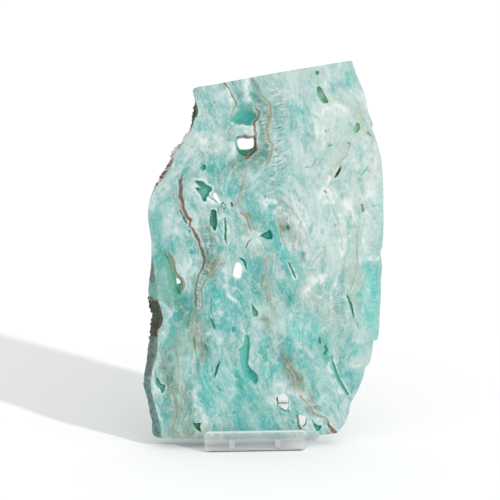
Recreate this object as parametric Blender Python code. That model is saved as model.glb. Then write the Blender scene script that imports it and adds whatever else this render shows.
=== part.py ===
"""A polished slab of blue aragonite that leans back in a small stand of clear acrylic sheet.

The slab is one natural piece with two sawn edges, a rough side on its left, open vugs and a few holes
that go right through. Two upright runners carry it, and a cross plate ties them at each end.
Units are metres, +Z is up, +Y points away from the viewer, and the origin is under the middle of the
whole object, on the surface that it stands on.
"""
import math

import bmesh
import bpy
from mathutils import Vector, noise
from mathutils.geometry import delaunay_2d_cdt

# Driving sizes of the slab
SLAB_HEIGHT = 0.190
SLAB_THICKNESS = 0.010
SLAB_LEAN = math.radians(12)

# Driving sizes of the stand
SHEET = 0.003
PLATE_WIDTH = 0.0508
PLATE_HEIGHT = 0.010
PLATE_CORNER = 0.002
RUNNER_SPACING = 0.0233
STAND_DEPTH = 0.078
STAND_OFFSET = -0.006
FOOT_HEIGHT = 0.005
LEDGE_HEIGHT = 0.0047
LIP_SPACE = 0.0037
ARM_LENGTH = 0.096
ARM_TOP_WIDTH = 0.006
ARM_FOOT_WIDTH = 0.011
GAP = 0.0003

# Where the photograph shows the slab: these pixels give the size of one pixel on its front face
TOP_PIXEL = 60.9
BOTTOM_PIXEL = 438.5
PIXEL = SLAB_HEIGHT / (BOTTOM_PIXEL - TOP_PIXEL)

# How far the rough side stands out at each depth, as a share of its flare
SIDE_PROFILE = ((0.0, 0.0), (0.0008, 0.30), (0.0035, 0.85), (0.0068, 1.0), (0.0094, 0.70), (0.010, 0.55))
ROUGHNESS = 0.0005
SMOOTH_ROUGHNESS = 0.00012

# The front face's outline, clockwise from its top left corner: two pixel coordinates, and the flare in
# pixels by which the side behind that point stands out to the left of it
OUTLINE = [
    # Sawn top edge
    (195.6, 87.9, 0.5), (215, 84.3, 0), (240, 79.6, 0), (270, 74.1, 0), (300, 69.1, 0), (330, 64.3, 0),
    (351.8, 60.9, 0),
    # Right edge
    (354, 62.5, -0.6), (355, 66, -0.6), (358.5, 75.9, -0.6), (363.4, 87.5, -0.6), (367, 96.4, -0.6),
    (369.6, 111.6, -0.6), (372.8, 120.5, -0.6), (374.4, 124.6, -0.6), (373.2, 128.6, -0.6),
    (375.9, 135.7, -0.6), (378.6, 143.8, -0.6), (380.8, 152.7, -0.6), (382.6, 158.9, -0.6),
    (383.9, 175, -0.6), (384.4, 190, -0.6), (384.4, 208, -0.6), (384.4, 225.7, -0.6), (383.5, 245.4, -0.6),
    (381.3, 252.5, -0.6), (382.1, 261.4, -0.6), (383, 268.6, -0.6), (381.7, 279.3, -0.6),
    (381.3, 297.1, -0.6), (380.4, 310.5, -0.6), (379.5, 330, -0.6), (377.7, 340.7, -0.6),
    (373.7, 342.5, -0.6), (372.3, 352.3, -0.6), (369.6, 363.9, -0.6), (365.2, 369.3, -0.6),
    (362.5, 380, -0.6), (357.1, 392.5, -0.6), (350, 405.4, -0.6), (347.8, 415.7, -0.6),
    (344.6, 423.8, -0.6), (340.2, 430, -0.6), (335.7, 434.6, -0.3),
    # Sawn bottom edge
    (329.5, 435.4, 0), (317, 436.6, 0), (303.6, 437.6, 0), (285, 438.5, 0), (250, 438.5, 0),
    (220, 438.5, 0), (205, 438.3, 0), (182, 437.5, 0), (160.8, 436.5, 6.7),
    # Rough left side
    (159.5, 428.2, 8.8), (157.7, 421, 7.2), (155.9, 413, 6.0), (153.7, 404.1, 5.0), (151.4, 395.2, 4.4),
    (149.2, 385.4, 4.9), (150.5, 374.6, 6.5), (151.9, 365.7, 7.1), (155.9, 354.1, 9.5),
    (156.8, 345.2, 9.4), (156.8, 330, 6.8), (160.8, 323.9, 10.3), (162.3, 317.7, 10.8),
    (161.3, 312.3, 9.8), (159.5, 305.2, 9.8), (156.8, 297.1, 8.6), (156.8, 288.2, 8.8),
    (155.4, 279.3, 6.5), (154.1, 273, 4.5), (153.7, 265.9, 2.9), (152.3, 258, 1.0), (152.1, 250, 0.6),
    (151.9, 239.1, 0.5), (150.5, 230.2, 0.5), (149.2, 221.3, 0.5), (148.9, 210.5, 0.5), (151, 198, 0.7),
    (155.0, 190, 1.6), (157.7, 183.9, 1.6), (161.3, 180.4, 2.1), (165.7, 175, 3.8), (169.3, 168.8, 3.3),
    (173.8, 160.7, 2.7), (175.5, 153.6, 3.0), (178.2, 148.2, 2.4), (183.6, 142.9, 2.8),
    (188, 135.7, 1.7), (192.5, 128.6, 1.6), (194.7, 120.5, 1.5), (196.5, 116.5, 2.7),
    (198.8, 113.4, 5.2), (199.2, 108.9, 3.8), (197.4, 103.6, 1.2), (196.6, 97, 0.5),
]

# Vugs in the front face: depth in metres, inset of the floor in pixels, and the rim's pixels
FRONT_VUGS = [
    (0.0026, 2.2, [(231, 120.5), (234, 115), (239, 110.5), (246, 107.5), (253, 109), (258, 112),
                   (260, 116), (257, 120.5), (253.5, 124.3), (247, 125), (243, 123.5), (237, 126),
                   (232.5, 125)]),
    (0.0030, 0.9, [(318, 87.4), (320.2, 86.5), (323, 88.7), (325.9, 94.4), (329.4, 101.5),
                   (328.5, 102.9), (324, 102.9), (320.8, 98.9), (318.3, 94.4)]),
    (0.0016, 0.6, [(316, 72.4), (319.5, 70.8), (320.2, 72.6), (318.6, 75.2)]),
    (0.0022, 0.9, [(358.1, 122.8), (360.5, 123.8), (361.3, 128.9), (357.5, 133.3), (354.5, 131.4),
                   (355.6, 127)]),
    (0.0025, 0.9, [(201, 167.1), (203, 163.6), (205.9, 164.2), (206.4, 167.1), (204.7, 169.7),
                   (201.8, 169.4)]),
    (0.0034, 0.7, [(195.2, 180), (203, 180.9), (205.9, 183.7), (211.5, 186.6), (212, 189.6),
                   (209.3, 192), (208.6, 195), (206.7, 196.4), (205.9, 200.4), (203.6, 200.7),
                   (202.4, 198.6), (200.1, 193.5), (195.4, 186.6), (201, 188), (198.4, 184.6)]),
    (0.0030, 0.9, [(211.6, 208.9), (215.9, 210), (216.5, 215.7), (217, 221.5), (215.9, 227.8),
                   (214.2, 230.1), (212.2, 226.6), (209.9, 223.2), (209.6, 218.6), (210.7, 213.4)]),
    (0.0028, 1.0, [(260.4, 235.2), (264.9, 232.1), (270.1, 229.8), (271.5, 232.7), (272.4, 235),
                   (271.8, 238.7), (266.7, 238.7), (263.5, 237.3)]),
    (0.0036, 1.0, [(164, 251.5), (168.5, 252), (171.5, 257), (174, 264.5), (176.3, 272),
                   (181.6, 277.8), (182.4, 285), (179.5, 293), (176, 293.5), (172, 290), (169, 284),
                   (167.5, 275), (165.5, 266), (162.5, 259.5), (162, 254)]),
    (0.0044, 1.4, [(244.3, 334.9), (247.9, 335.4), (248.8, 341.6), (248.3, 350.5), (247, 363),
                   (249.6, 368.4), (255.9, 374.6), (256.3, 380), (254.1, 384.5), (250.5, 380),
                   (245.2, 376.4), (240.7, 369.3), (239.4, 360.4), (238.5, 351.4), (236.8, 349.4),
                   (241.6, 346.1), (243.4, 339.8)]),
    (0.0018, 0.8, [(154.6, 376), (156.8, 377.3), (159.5, 382.2), (163.6, 383.6), (163.2, 387.1),
                   (160.8, 392), (158.6, 387.1), (154.6, 382.7)]),
    (0.0020, 0.6, [(190.3, 420.6), (193.4, 422.4), (199.2, 422.4), (197.8, 426), (199.2, 430.9),
                   (194.7, 428.4), (192.1, 424.6)]),
    (0.0022, 0.9, [(252.4, 311), (255.4, 311), (257, 313.4), (255.6, 315.6), (252.6, 315.2)]),
    (0.0018, 0.7, [(310.9, 420.9), (313.3, 424.1), (316.4, 426.8), (320.8, 427), (319.4, 430.1),
                   (317, 432.3), (314.2, 430.3)]),
]

# Slits in the front face: depth in metres, width in pixels, and the pixels of their middle line
FRONT_SLITS = [
    (0.0014, 2.2, [(224.8, 217.5), (225.4, 228.9), (225, 237), (226.2, 241.9)]),
    (0.0014, 2.4, [(341.3, 168), (338.6, 173), (336.2, 176.8)]),
    (0.0012, 2.0, [(367.9, 167.9), (364.5, 172.6), (361.4, 176.3)]),
    (0.0012, 2.0, [(180, 209), (183.6, 216.4), (187.1, 222.6)]),
    (0.0014, 2.4, [(239.6, 257.6), (243.6, 260.6), (246, 268.4)]),
    (0.0014, 2.4, [(347.3, 296.7), (350.9, 305.2), (353.6, 317.7)]),
    (0.0014, 2.2, [(218, 361.3), (215.7, 367.5), (213.5, 376)]),
    (0.0012, 2.0, [(195, 350.5), (195, 360.4)]),
    (0.0012, 2.2, [(212.6, 424.5), (210.5, 431.5)]),
    (0.0014, 2.6, [(210.8, 319), (213.5, 327)]),
    (0.0012, 2.0, [(288.4, 262.3), (291.6, 269.6), (295.1, 277.5)]),
    (0.0026, 4.2, [(330.8, 357.5), (333.4, 368.4), (336.4, 378.2), (341.6, 387.5), (347, 395.5)]),
]

# Holes that go right through: depth in metres where the opening starts below the front face, and the
# pixels of the opening
HOLES = [
    (0.0045, [(238, 140), (243.4, 137.5), (248.8, 138.4), (254.1, 137.9), (254.8, 143),
              (253.4, 146.5), (249, 147.8), (241, 147.3)]),
    (0.0, [(213.4, 192.4), (216, 192.9), (218, 195.2), (219.7, 198.5), (221, 201.2), (219.5, 202.5),
           (216.6, 200.2), (213.9, 196.6)]),
    (0.0036, [(176, 276.8), (177.8, 277.8), (179.8, 279.9), (179.9, 282.2), (176.4, 282.6)]),
    (0.0, [(235.4, 262.8), (239.6, 263.2), (241.7, 266.3), (241.6, 273), (239.8, 277.1),
           (235.4, 277.5), (232.7, 274.8), (233.6, 269.4)]),
    (0.0, [(275, 398), (280, 395), (284, 396), (287.5, 400), (287.5, 409), (284.5, 410.5), (280, 408),
           (276, 404)]),
    (0.0, [(297.6, 416.5), (303.4, 416.9), (305.7, 420.4), (304.9, 426), (301.2, 428.2),
           (298.8, 425)]),
]

# Rims around holes whose walls slope down from the front face, in pixels
HOLE_RIMS = [
    [(236.3, 136.8), (243.4, 134.8), (249, 136), (255.8, 135.8), (257.2, 143.5), (256.2, 150.5),
     (250.8, 155), (245.5, 156), (239.5, 152.5), (236, 146.5)],
]

# Vugs in the back face, in the same pixels, as seen through the slab from the front
BACK_VUGS = [
    (0.0024, 1.4, [(300, 120), (306, 116), (313, 121), (316, 132), (311, 140), (304, 136), (300, 128)]),
    (0.0020, 1.2, [(196, 262), (202, 258), (206, 266), (205, 280), (199, 284), (196, 274)]),
    (0.0028, 1.6, [(300, 318), (309, 314), (318, 322), (322, 336), (316, 346), (307, 340), (302, 330)]),
    (0.0018, 1.0, [(344, 214), (350, 212), (353, 222), (351, 234), (345, 232), (343, 222)]),
    (0.0020, 1.2, [(262, 176), (270, 173), (276, 181), (274, 192), (266, 194), (261, 186)]),
    (0.0016, 1.0, [(196, 396), (203, 392), (209, 399), (206, 408), (199, 408)]),
]
BACK_SLITS = [
    (0.0014, 3.0, [(228, 98), (232, 110), (230, 122)]),
    (0.0014, 3.0, [(336, 266), (340, 280), (338, 296)]),
    (0.0012, 2.6, [(246, 420), (256, 412), (268, 410)]),
]
BACK_HOLE_WIDENING = 1.25

ARC_STEPS = 4


def new_material(name, colour, roughness, transmission):
    """A Principled material with the piece's colour and polish."""
    material = bpy.data.materials.new(name)
    material.use_nodes = True
    shader = material.node_tree.nodes["Principled BSDF"]
    shader.inputs["Base Color"].default_value = colour
    shader.inputs["Roughness"].default_value = roughness
    shader.inputs["Metallic"].default_value = 0.0
    shader.inputs["Transmission Weight"].default_value = transmission
    return material


def new_object(name, shape, material):
    """An object with the given bmesh, its faces turned outwards, flat shaded."""
    bmesh.ops.recalc_face_normals(shape, faces=shape.faces)
    mesh = bpy.data.meshes.new(name)
    shape.to_mesh(mesh)
    shape.free()
    mesh.materials.append(material)
    piece = bpy.data.objects.new(name, mesh)
    bpy.context.scene.collection.objects.link(piece)
    return piece


def middle_pixel():
    """The pixel column half way between the slab's leftmost and rightmost points."""
    left = min(x - max(flare, 0) for x, _, flare in OUTLINE)
    right = max(x - min(flare, 0) for x, _, flare in OUTLINE)
    return (left + right) / 2


MIDDLE_PIXEL = middle_pixel()


def on_slab(x, y):
    """A photograph pixel as a point on the slab's front face, measured from its lower edge."""
    return Vector(((x - MIDDLE_PIXEL) * PIXEL, (BOTTOM_PIXEL - y) * PIXEL))


def turned_left(step):
    return Vector((-step.y, step.x))


def inset(rim, distance):
    """The closed outline rim with every point moved inwards by about the same distance."""
    doubled_area = sum(a.cross(b) for a, b in zip(rim, rim[1:] + rim[:1]))
    side = 1 if doubled_area > 0 else -1
    moved = []
    for index, point in enumerate(rim):
        before = (point - rim[index - 1]).normalized()
        after = (rim[(index + 1) % len(rim)] - point).normalized()
        inward = turned_left(before + after).normalized() * side
        slant = max(inward.dot(turned_left(before) * side), 0.6)
        moved.append(point + inward * distance / slant)
    return moved


def slit_rim(line, width):
    """A closed outline around a bent line, pointed at both ends and widest between them."""
    points = [on_slab(*pixel) for pixel in line]
    left, right = [], []
    for index, point in enumerate(points):
        ahead = points[min(index + 1, len(points) - 1)]
        behind = points[max(index - 1, 0)]
        across = turned_left(ahead - behind).normalized() * width * PIXEL / 2
        at_end = index in (0, len(points) - 1)
        left.append(point + across * (0.6 if at_end else 1.0))
        right.append(point - across * (0.6 if at_end else 1.0))
    first = points[0] + (points[0] - points[1]).normalized() * width * PIXEL * 0.6
    last = points[-1] + (points[-1] - points[-2]).normalized() * width * PIXEL * 0.6
    return [first] + left + [last] + right[::-1]


def is_inside(point, outline):
    """Whether a flat point lies inside a closed outline."""
    inside = False
    for a, b in zip(outline, outline[1:] + outline[:1]):
        crosses = (a.y > point.y) != (b.y > point.y)
        if crosses and point.x < (b.x - a.x) * (point.y - a.y) / (b.y - a.y) + a.x:
            inside = not inside
    return inside


def side_rings():
    """The slab's outline at each depth of its side, from the front face to the back face."""
    rings = []
    for depth, share in SIDE_PROFILE:
        ring = []
        for x, y, flare in OUTLINE:
            point = on_slab(x - flare * share, y)
            if 0 < depth < SLAB_THICKNESS:
                amount = ROUGHNESS if flare > 1 else SMOOTH_ROUGHNESS if flare else 0
                place = Vector((point.x, depth, point.y)) * 280
                point.x += noise.noise(place) * amount
                point.y += noise.noise(place + Vector((9, 5, 2))) * amount * 0.5
            ring.append(point)
        rings.append(ring)
    return rings


class Face:
    """One broad face of the slab, as a flat triangulation whose points each have a depth."""

    def __init__(self, outline):
        self.points = list(outline)
        self.depths = [0.0] * len(outline)
        self.edges = self.loop(0, len(outline))
        self.outline = outline
        self.holes = []

    @staticmethod
    def loop(start, count):
        return [(start + index, start + (index + 1) % count) for index in range(count)]

    def add_outline(self, outline, depth):
        start = len(self.points)
        self.points += outline
        self.depths += [depth] * len(outline)
        self.edges += self.loop(start, len(outline))
        return start

    def add_vug(self, rim, floor_inset, depth):
        self.add_outline(rim, 0.0)
        self.add_outline(inset(rim, floor_inset * PIXEL), depth)

    def add_hole(self, opening, depth):
        self.holes.append((self.add_outline(opening, depth), opening))

    def triangles(self):
        """The triangles of the face as point indices, with the holes left open."""
        found = delaunay_2d_cdt(self.points, self.edges, [], 0, 1e-7)
        assert len(found[0]) == len(self.points), "two outlines on one face cross"
        source = [origins[0] for origins in found[3]]
        kept = []
        for corners in found[2]:
            triangle = [source[corner] for corner in corners]
            middle = sum((self.points[corner] for corner in triangle), Vector((0, 0))) / 3
            in_a_hole = any(is_inside(middle, opening) for _, opening in self.holes)
            if is_inside(middle, self.outline) and not in_a_hole:
                kept.append(triangle)
        return kept


def front_face(outline):
    face = Face(outline)
    for depth, floor_inset, rim in FRONT_VUGS:
        face.add_vug([on_slab(*pixel) for pixel in rim], floor_inset, depth)
    for depth, width, line in FRONT_SLITS:
        face.add_vug(slit_rim(line, width), width * 0.26, depth)
    for rim in HOLE_RIMS:
        face.add_outline([on_slab(*pixel) for pixel in rim], 0.0)
    for depth, opening in HOLES:
        face.add_hole([on_slab(*pixel) for pixel in opening], depth)
    return face


def back_face(outline):
    face = Face(outline)
    for depth, floor_inset, rim in BACK_VUGS:
        face.add_vug([on_slab(*pixel) for pixel in rim], floor_inset, depth)
    for depth, width, line in BACK_SLITS:
        face.add_vug(slit_rim(line, width), width * 0.26, depth)
    for _, opening in HOLES:
        points = [on_slab(*pixel) for pixel in opening]
        middle = sum(points, Vector((0, 0))) / len(points)
        face.add_hole([middle + (point - middle) * BACK_HOLE_WIDENING for point in points], 0.0)
    return face


def bridge(shape, first, second):
    """Closes the band between two rings of vertices with the same number of points."""
    for index in range(len(first)):
        following = (index + 1) % len(first)
        shape.faces.new((first[index], first[following], second[following]))
        shape.faces.new((first[index], second[following], second[index]))


def build_slab(material):
    """The slab, standing on its lower front edge in its own frame, and then leant back."""
    shape = bmesh.new()
    rings = side_rings()
    faces = (front_face(rings[0]), back_face(rings[-1]))
    loops = []
    for face, surface, inward in zip(faces, (0.0, SLAB_THICKNESS), (1, -1)):
        vertices = [
            shape.verts.new((point.x, surface + inward * depth, point.y))
            for point, depth in zip(face.points, face.depths)
        ]
        for corners in face.triangles():
            shape.faces.new([vertices[corner] for corner in corners])
        openings = [vertices[start:start + len(opening)] for start, opening in face.holes]
        loops.append((vertices[:len(face.outline)], openings))
    side = [loops[0][0]]
    for (depth, _), ring in list(zip(SIDE_PROFILE, rings))[1:-1]:
        side.append([shape.verts.new((point.x, depth, point.y)) for point in ring])
    side.append(loops[1][0])
    for nearer, farther in zip(side, side[1:]):
        bridge(shape, nearer, farther)
    for nearer, farther in zip(loops[0][1], loops[1][1]):
        bridge(shape, nearer, farther)
    slab = new_object("slab", shape, material)
    slab.location = (0, SLAB_FRONT, LEDGE_HEIGHT)
    slab.rotation_euler = (-SLAB_LEAN, 0, 0)
    return slab


# The stand's plates reach from front to back of the whole object, so they centre it on the origin
FRONT_END = -STAND_DEPTH / 2
BACK_END = STAND_DEPTH / 2
SLAB_FRONT = FRONT_END + SHEET + LIP_SPACE


def beside_slab(depth, height):
    """A point given along the slab's thickness and height, as world Y and Z."""
    along = math.cos(SLAB_LEAN) * depth + math.sin(SLAB_LEAN) * height
    up = math.cos(SLAB_LEAN) * height - math.sin(SLAB_LEAN) * depth
    return SLAB_FRONT + along, LEDGE_HEIGHT + up


def rounded(corners):
    """The points of a closed outline whose corners, each x, y and radius, are rounded by arcs."""
    points = []
    for index, (x, y, radius) in enumerate(corners):
        corner = Vector((x, y))
        if not radius:
            points.append(corner)
            continue
        before = (Vector(corners[index - 1][:2]) - corner).normalized()
        after = (Vector(corners[(index + 1) % len(corners)][:2]) - corner).normalized()
        half = before.angle(after) / 2
        centre = corner + (before + after).normalized() * radius / math.sin(half)
        start = corner + before * radius / math.tan(half) - centre
        end = corner + after * radius / math.tan(half) - centre
        turn = math.atan2(start.cross(end), start.dot(end))
        for step in range(ARC_STEPS + 1):
            angle = turn * step / ARC_STEPS
            cosine, sine = math.cos(angle), math.sin(angle)
            turned = Vector((start.x * cosine - start.y * sine, start.x * sine + start.y * cosine))
            points.append(centre + turned)
    return points


def sheet_piece(name, outline, place, material):
    """A flat piece of sheet: place turns an outline point and an offset through the sheet to 3-D."""
    shape = bmesh.new()
    vertices = [shape.verts.new(place(point, -SHEET / 2)) for point in outline]
    face = shape.faces.new(vertices)
    grown = bmesh.ops.extrude_face_region(shape, geom=[face])["geom"]
    step = Vector(place(Vector((0, 0)), SHEET)) - Vector(place(Vector((0, 0)), 0))
    moved = [item for item in grown if isinstance(item, bmesh.types.BMVert)]
    bmesh.ops.translate(shape, vec=step, verts=moved)
    return new_object(name, shape, material)


def build_plate(name, middle, material):
    """A cross plate with rounded corners, standing on edge across both runners."""
    half = PLATE_WIDTH / 2
    corners = ((-half, 0), (half, 0), (half, PLATE_HEIGHT), (-half, PLATE_HEIGHT))
    outline = rounded([(x, z, PLATE_CORNER) for x, z in corners])
    plate = sheet_piece(name, outline, lambda point, through: (point.x, through, point.y), material)
    plate.location = (STAND_OFFSET, middle, 0)
    return plate


def build_runner(name, side, material):
    """A runner's outline: a foot, a ledge under the slab and an arm that follows the slab's back."""
    front = FRONT_END + SHEET + GAP
    back = BACK_END - SHEET - GAP
    arm_front = SLAB_THICKNESS + GAP
    ledge_front = (front - SLAB_FRONT) / math.cos(SLAB_LEAN) - GAP * math.tan(SLAB_LEAN)
    foot_of_arm = beside_slab(arm_front + ARM_FOOT_WIDTH, FOOT_HEIGHT)
    corners = [
        (front, 0, 0),
        (back, 0, 0),
        (back, FOOT_HEIGHT, 0.001),
        (foot_of_arm[0] + 0.004, FOOT_HEIGHT + 0.0005, 0.012),
        (*beside_slab(arm_front + ARM_TOP_WIDTH, ARM_LENGTH), 0.0025),
        (*beside_slab(arm_front, ARM_LENGTH), 0.0025),
        (*beside_slab(arm_front, -GAP), 0),
        (*beside_slab(ledge_front, -GAP), 0),
    ]
    runner = sheet_piece(
        name, rounded(corners), lambda point, through: (through, point.x, point.y), material
    )
    runner.location = (STAND_OFFSET + side * RUNNER_SPACING / 2, 0, 0)
    return runner


def main():
    for item in list(bpy.data.objects):
        bpy.data.objects.remove(item)
    aragonite = new_material("aragonite", (0.30, 0.60, 0.57, 1), 0.15, 0.0)
    acrylic = new_material("acrylic", (0.93, 0.98, 0.97, 1), 0.03, 1.0)
    build_slab(aragonite)
    build_runner("runner_left", -1, acrylic)
    build_runner("runner_right", 1, acrylic)
    build_plate("front_plate", FRONT_END + SHEET / 2, acrylic)
    build_plate("rear_plate", BACK_END - SHEET / 2, acrylic)


main()
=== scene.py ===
"""The look of a polished blue aragonite slab in its clear stand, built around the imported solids.

The slab is one dense mesh. Its outline, vugs, slits and holes repeat the solid's, and its pattern is
painted by named strokes: washes of pigment, veins and fibres that follow the stone's layers.
Coordinates in pixels are those of the photograph, seen square on to the slab's front face.
"""
import math
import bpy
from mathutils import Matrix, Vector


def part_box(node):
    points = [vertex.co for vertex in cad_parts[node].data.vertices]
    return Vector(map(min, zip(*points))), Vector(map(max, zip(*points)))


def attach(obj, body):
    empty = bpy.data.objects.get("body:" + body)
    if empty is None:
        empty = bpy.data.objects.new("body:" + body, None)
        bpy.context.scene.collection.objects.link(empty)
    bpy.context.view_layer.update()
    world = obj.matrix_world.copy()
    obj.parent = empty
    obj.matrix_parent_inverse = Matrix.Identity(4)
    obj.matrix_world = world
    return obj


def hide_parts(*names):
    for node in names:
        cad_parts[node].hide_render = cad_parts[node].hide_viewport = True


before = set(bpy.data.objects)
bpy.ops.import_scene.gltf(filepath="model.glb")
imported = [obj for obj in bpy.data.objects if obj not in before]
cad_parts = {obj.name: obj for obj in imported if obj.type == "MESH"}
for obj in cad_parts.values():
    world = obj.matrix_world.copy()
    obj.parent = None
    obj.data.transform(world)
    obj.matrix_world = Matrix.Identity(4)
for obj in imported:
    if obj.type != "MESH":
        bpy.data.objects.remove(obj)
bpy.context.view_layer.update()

from types import SimpleNamespace

import bmesh
import bpy
import numpy as np
from mathutils import Matrix, Vector
from mathutils.geometry import delaunay_2d_cdt

# The slab's place, worked out from its solid
SLAB_THICKNESS = 0.010
SLAB_LEAN = math.radians(12)
TOP_PIXEL = 60.9
BOTTOM_PIXEL = 438.5
RIGHT_PIXEL = 385.0
slab_low, slab_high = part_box("slab")
LEDGE_HEIGHT = slab_low.z + SLAB_THICKNESS * math.sin(SLAB_LEAN)
SLAB_HEIGHT = (slab_high.z - LEDGE_HEIGHT) / math.cos(SLAB_LEAN)
PIXEL = SLAB_HEIGHT / (BOTTOM_PIXEL - TOP_PIXEL)
MIDDLE_PIXEL = RIGHT_PIXEL - slab_high.x / PIXEL
STANDING = (
    Matrix.Translation((0, slab_low.y, LEDGE_HEIGHT)) @ Matrix.Rotation(-SLAB_LEAN, 4, "X")
)

# Spacing of the slab's mesh, in pixels
FRONT_SPACING = 1.12
BACK_SPACING = 2.55
EDGE_SPACING = 1.25
RIM_SPACING = 0.8

# How far the rough side stands out at each depth in metres, and at the back, as a share of its flare
SIDE_PROFILE = (
    (0.00012, 0.06), (0.0005, 0.20), (0.0010, 0.36), (0.0018, 0.56), (0.0027, 0.74), (0.0035, 0.85),
    (0.0044, 0.93), (0.0054, 0.98), (0.0064, 1.0), (0.0074, 0.97), (0.0083, 0.88), (0.0091, 0.76),
    (0.0097, 0.64),
)
BACK_SHARE = 0.55

# Where the rough side is most ragged: the pixel rows where that starts, is full, begins to fade and ends
RAGGED_ROWS = ((98, 104, 188, 196), (292, 298, 334, 342))

# Sizes in metres of the lumps on the side and in the holes, their seeds, and how far in from each face
# the side stays smooth
COARSE_LUMPS, FINE_LUMPS, THROAT_LUMPS = 0.0026, 0.0009, 0.0016
COARSE_SEED, FINE_SEED, THROAT_SEED = 3, 4, 11
SMOOTH_EDGE = 0.0008

# Shares of the way through a hole where its wall wobbles, and its share and tone of the vugs' colour
THROAT_STEPS = (0.15, 0.35, 0.55, 0.75, 0.9)
THROAT_TONE = 0.55

# The slab's edges are sharp where its faces meet at more than this angle
SHARP_ANGLE = math.radians(38)

# The vugs let light through their thin walls, so they are drawn about two thirds as deep as the solid's
VUG_DEPTH_SHARE = 0.65

# Width of a slit's sloping wall as a share of the slit's width
SLIT_WALL_SHARE = 0.34

# Reach of a vug's or hole's effect around it, the white rim of a hole, and the distance to a rim that
# counts as far away, in pixels
RIM_REACH = 6
HOLE_HALO = 1.2
NO_RIM_NEAR = 5.0

# The front face's outline, clockwise from its top left corner: two pixel coordinates, and the flare in
# pixels by which the side behind that point stands out to the left of it
OUTLINE = [
    (195.6, 87.9, 0.5), (215, 84.3, 0), (240, 79.6, 0), (270, 74.1, 0), (300, 69.1, 0), (330, 64.3, 0),
    (351.8, 60.9, 0), (354, 62.5, -0.6), (355, 66, -0.6), (358.5, 75.9, -0.6), (363.4, 87.5, -0.6),
    (367, 96.4, -0.6), (369.6, 111.6, -0.6), (372.8, 120.5, -0.6), (374.4, 124.6, -0.6),
    (373.2, 128.6, -0.6), (375.9, 135.7, -0.6), (378.6, 143.8, -0.6), (380.8, 152.7, -0.6),
    (382.6, 158.9, -0.6), (383.9, 175, -0.6), (384.4, 190, -0.6), (384.4, 208, -0.6), (384.4, 225.7, -0.6),
    (383.5, 245.4, -0.6), (381.3, 252.5, -0.6), (382.1, 261.4, -0.6), (383, 268.6, -0.6),
    (381.7, 279.3, -0.6), (381.3, 297.1, -0.6), (380.4, 310.5, -0.6), (379.5, 330, -0.6),
    (377.7, 340.7, -0.6), (373.7, 342.5, -0.6), (372.3, 352.3, -0.6), (369.6, 363.9, -0.6),
    (365.2, 369.3, -0.6), (362.5, 380, -0.6), (357.1, 392.5, -0.6), (350, 405.4, -0.6),
    (347.8, 415.7, -0.6), (344.6, 423.8, -0.6), (340.2, 430, -0.6), (335.7, 434.6, -0.3), (329.5, 435.4, 0),
    (317, 436.6, 0), (303.6, 437.6, 0), (285, 438.5, 0), (250, 438.5, 0), (220, 438.5, 0), (205, 438.3, 0),
    (182, 437.5, 0), (160.8, 436.5, 6.7), (159.5, 428.2, 8.8), (157.7, 421, 7.2), (155.9, 413, 7.6),
    (153.7, 404.1, 6.6), (151.4, 395.2, 6.2), (149.4, 385.4, 7.2), (150.5, 374.6, 7.2), (151.9, 365.7, 7.1),
    (155.9, 354.1, 9.5), (156.8, 345.2, 9.4), (156.8, 330, 6.8), (160.8, 323.9, 10.3), (162.3, 317.7, 10.8),
    (161.3, 312.3, 9.8), (159.5, 305.2, 9.8), (156.8, 297.1, 8.6), (156.8, 288.2, 8.8), (155.4, 279.3, 6.5),
    (154.1, 273, 4.5), (153.7, 265.9, 2.9), (152.3, 258, 1.0), (152.1, 250, 0.6), (151.9, 239.1, 0.5),
    (150.5, 230.2, 0.5), (149.2, 221.3, 0.5), (148.9, 210.5, 0.5), (151, 198, 0.7), (155.0, 190, 1.6),
    (158.2, 183.9, 2.2), (161.6, 180.4, 2.6), (165.2, 175, 3.4), (169.2, 168.8, 3.3), (173.8, 160.7, 2.9),
    (175.7, 153.6, 3.1), (178.6, 148.2, 2.8), (183.9, 142.9, 2.9), (188.5, 135.7, 2.2), (192.6, 128.6, 1.8),
    (194.7, 120.5, 1.6), (196.5, 116.5, 2.7), (198.8, 113.4, 5.2), (199.2, 108.9, 3.8), (197.4, 103.6, 1.2),
    (196.6, 97, 0.5),
]

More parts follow.
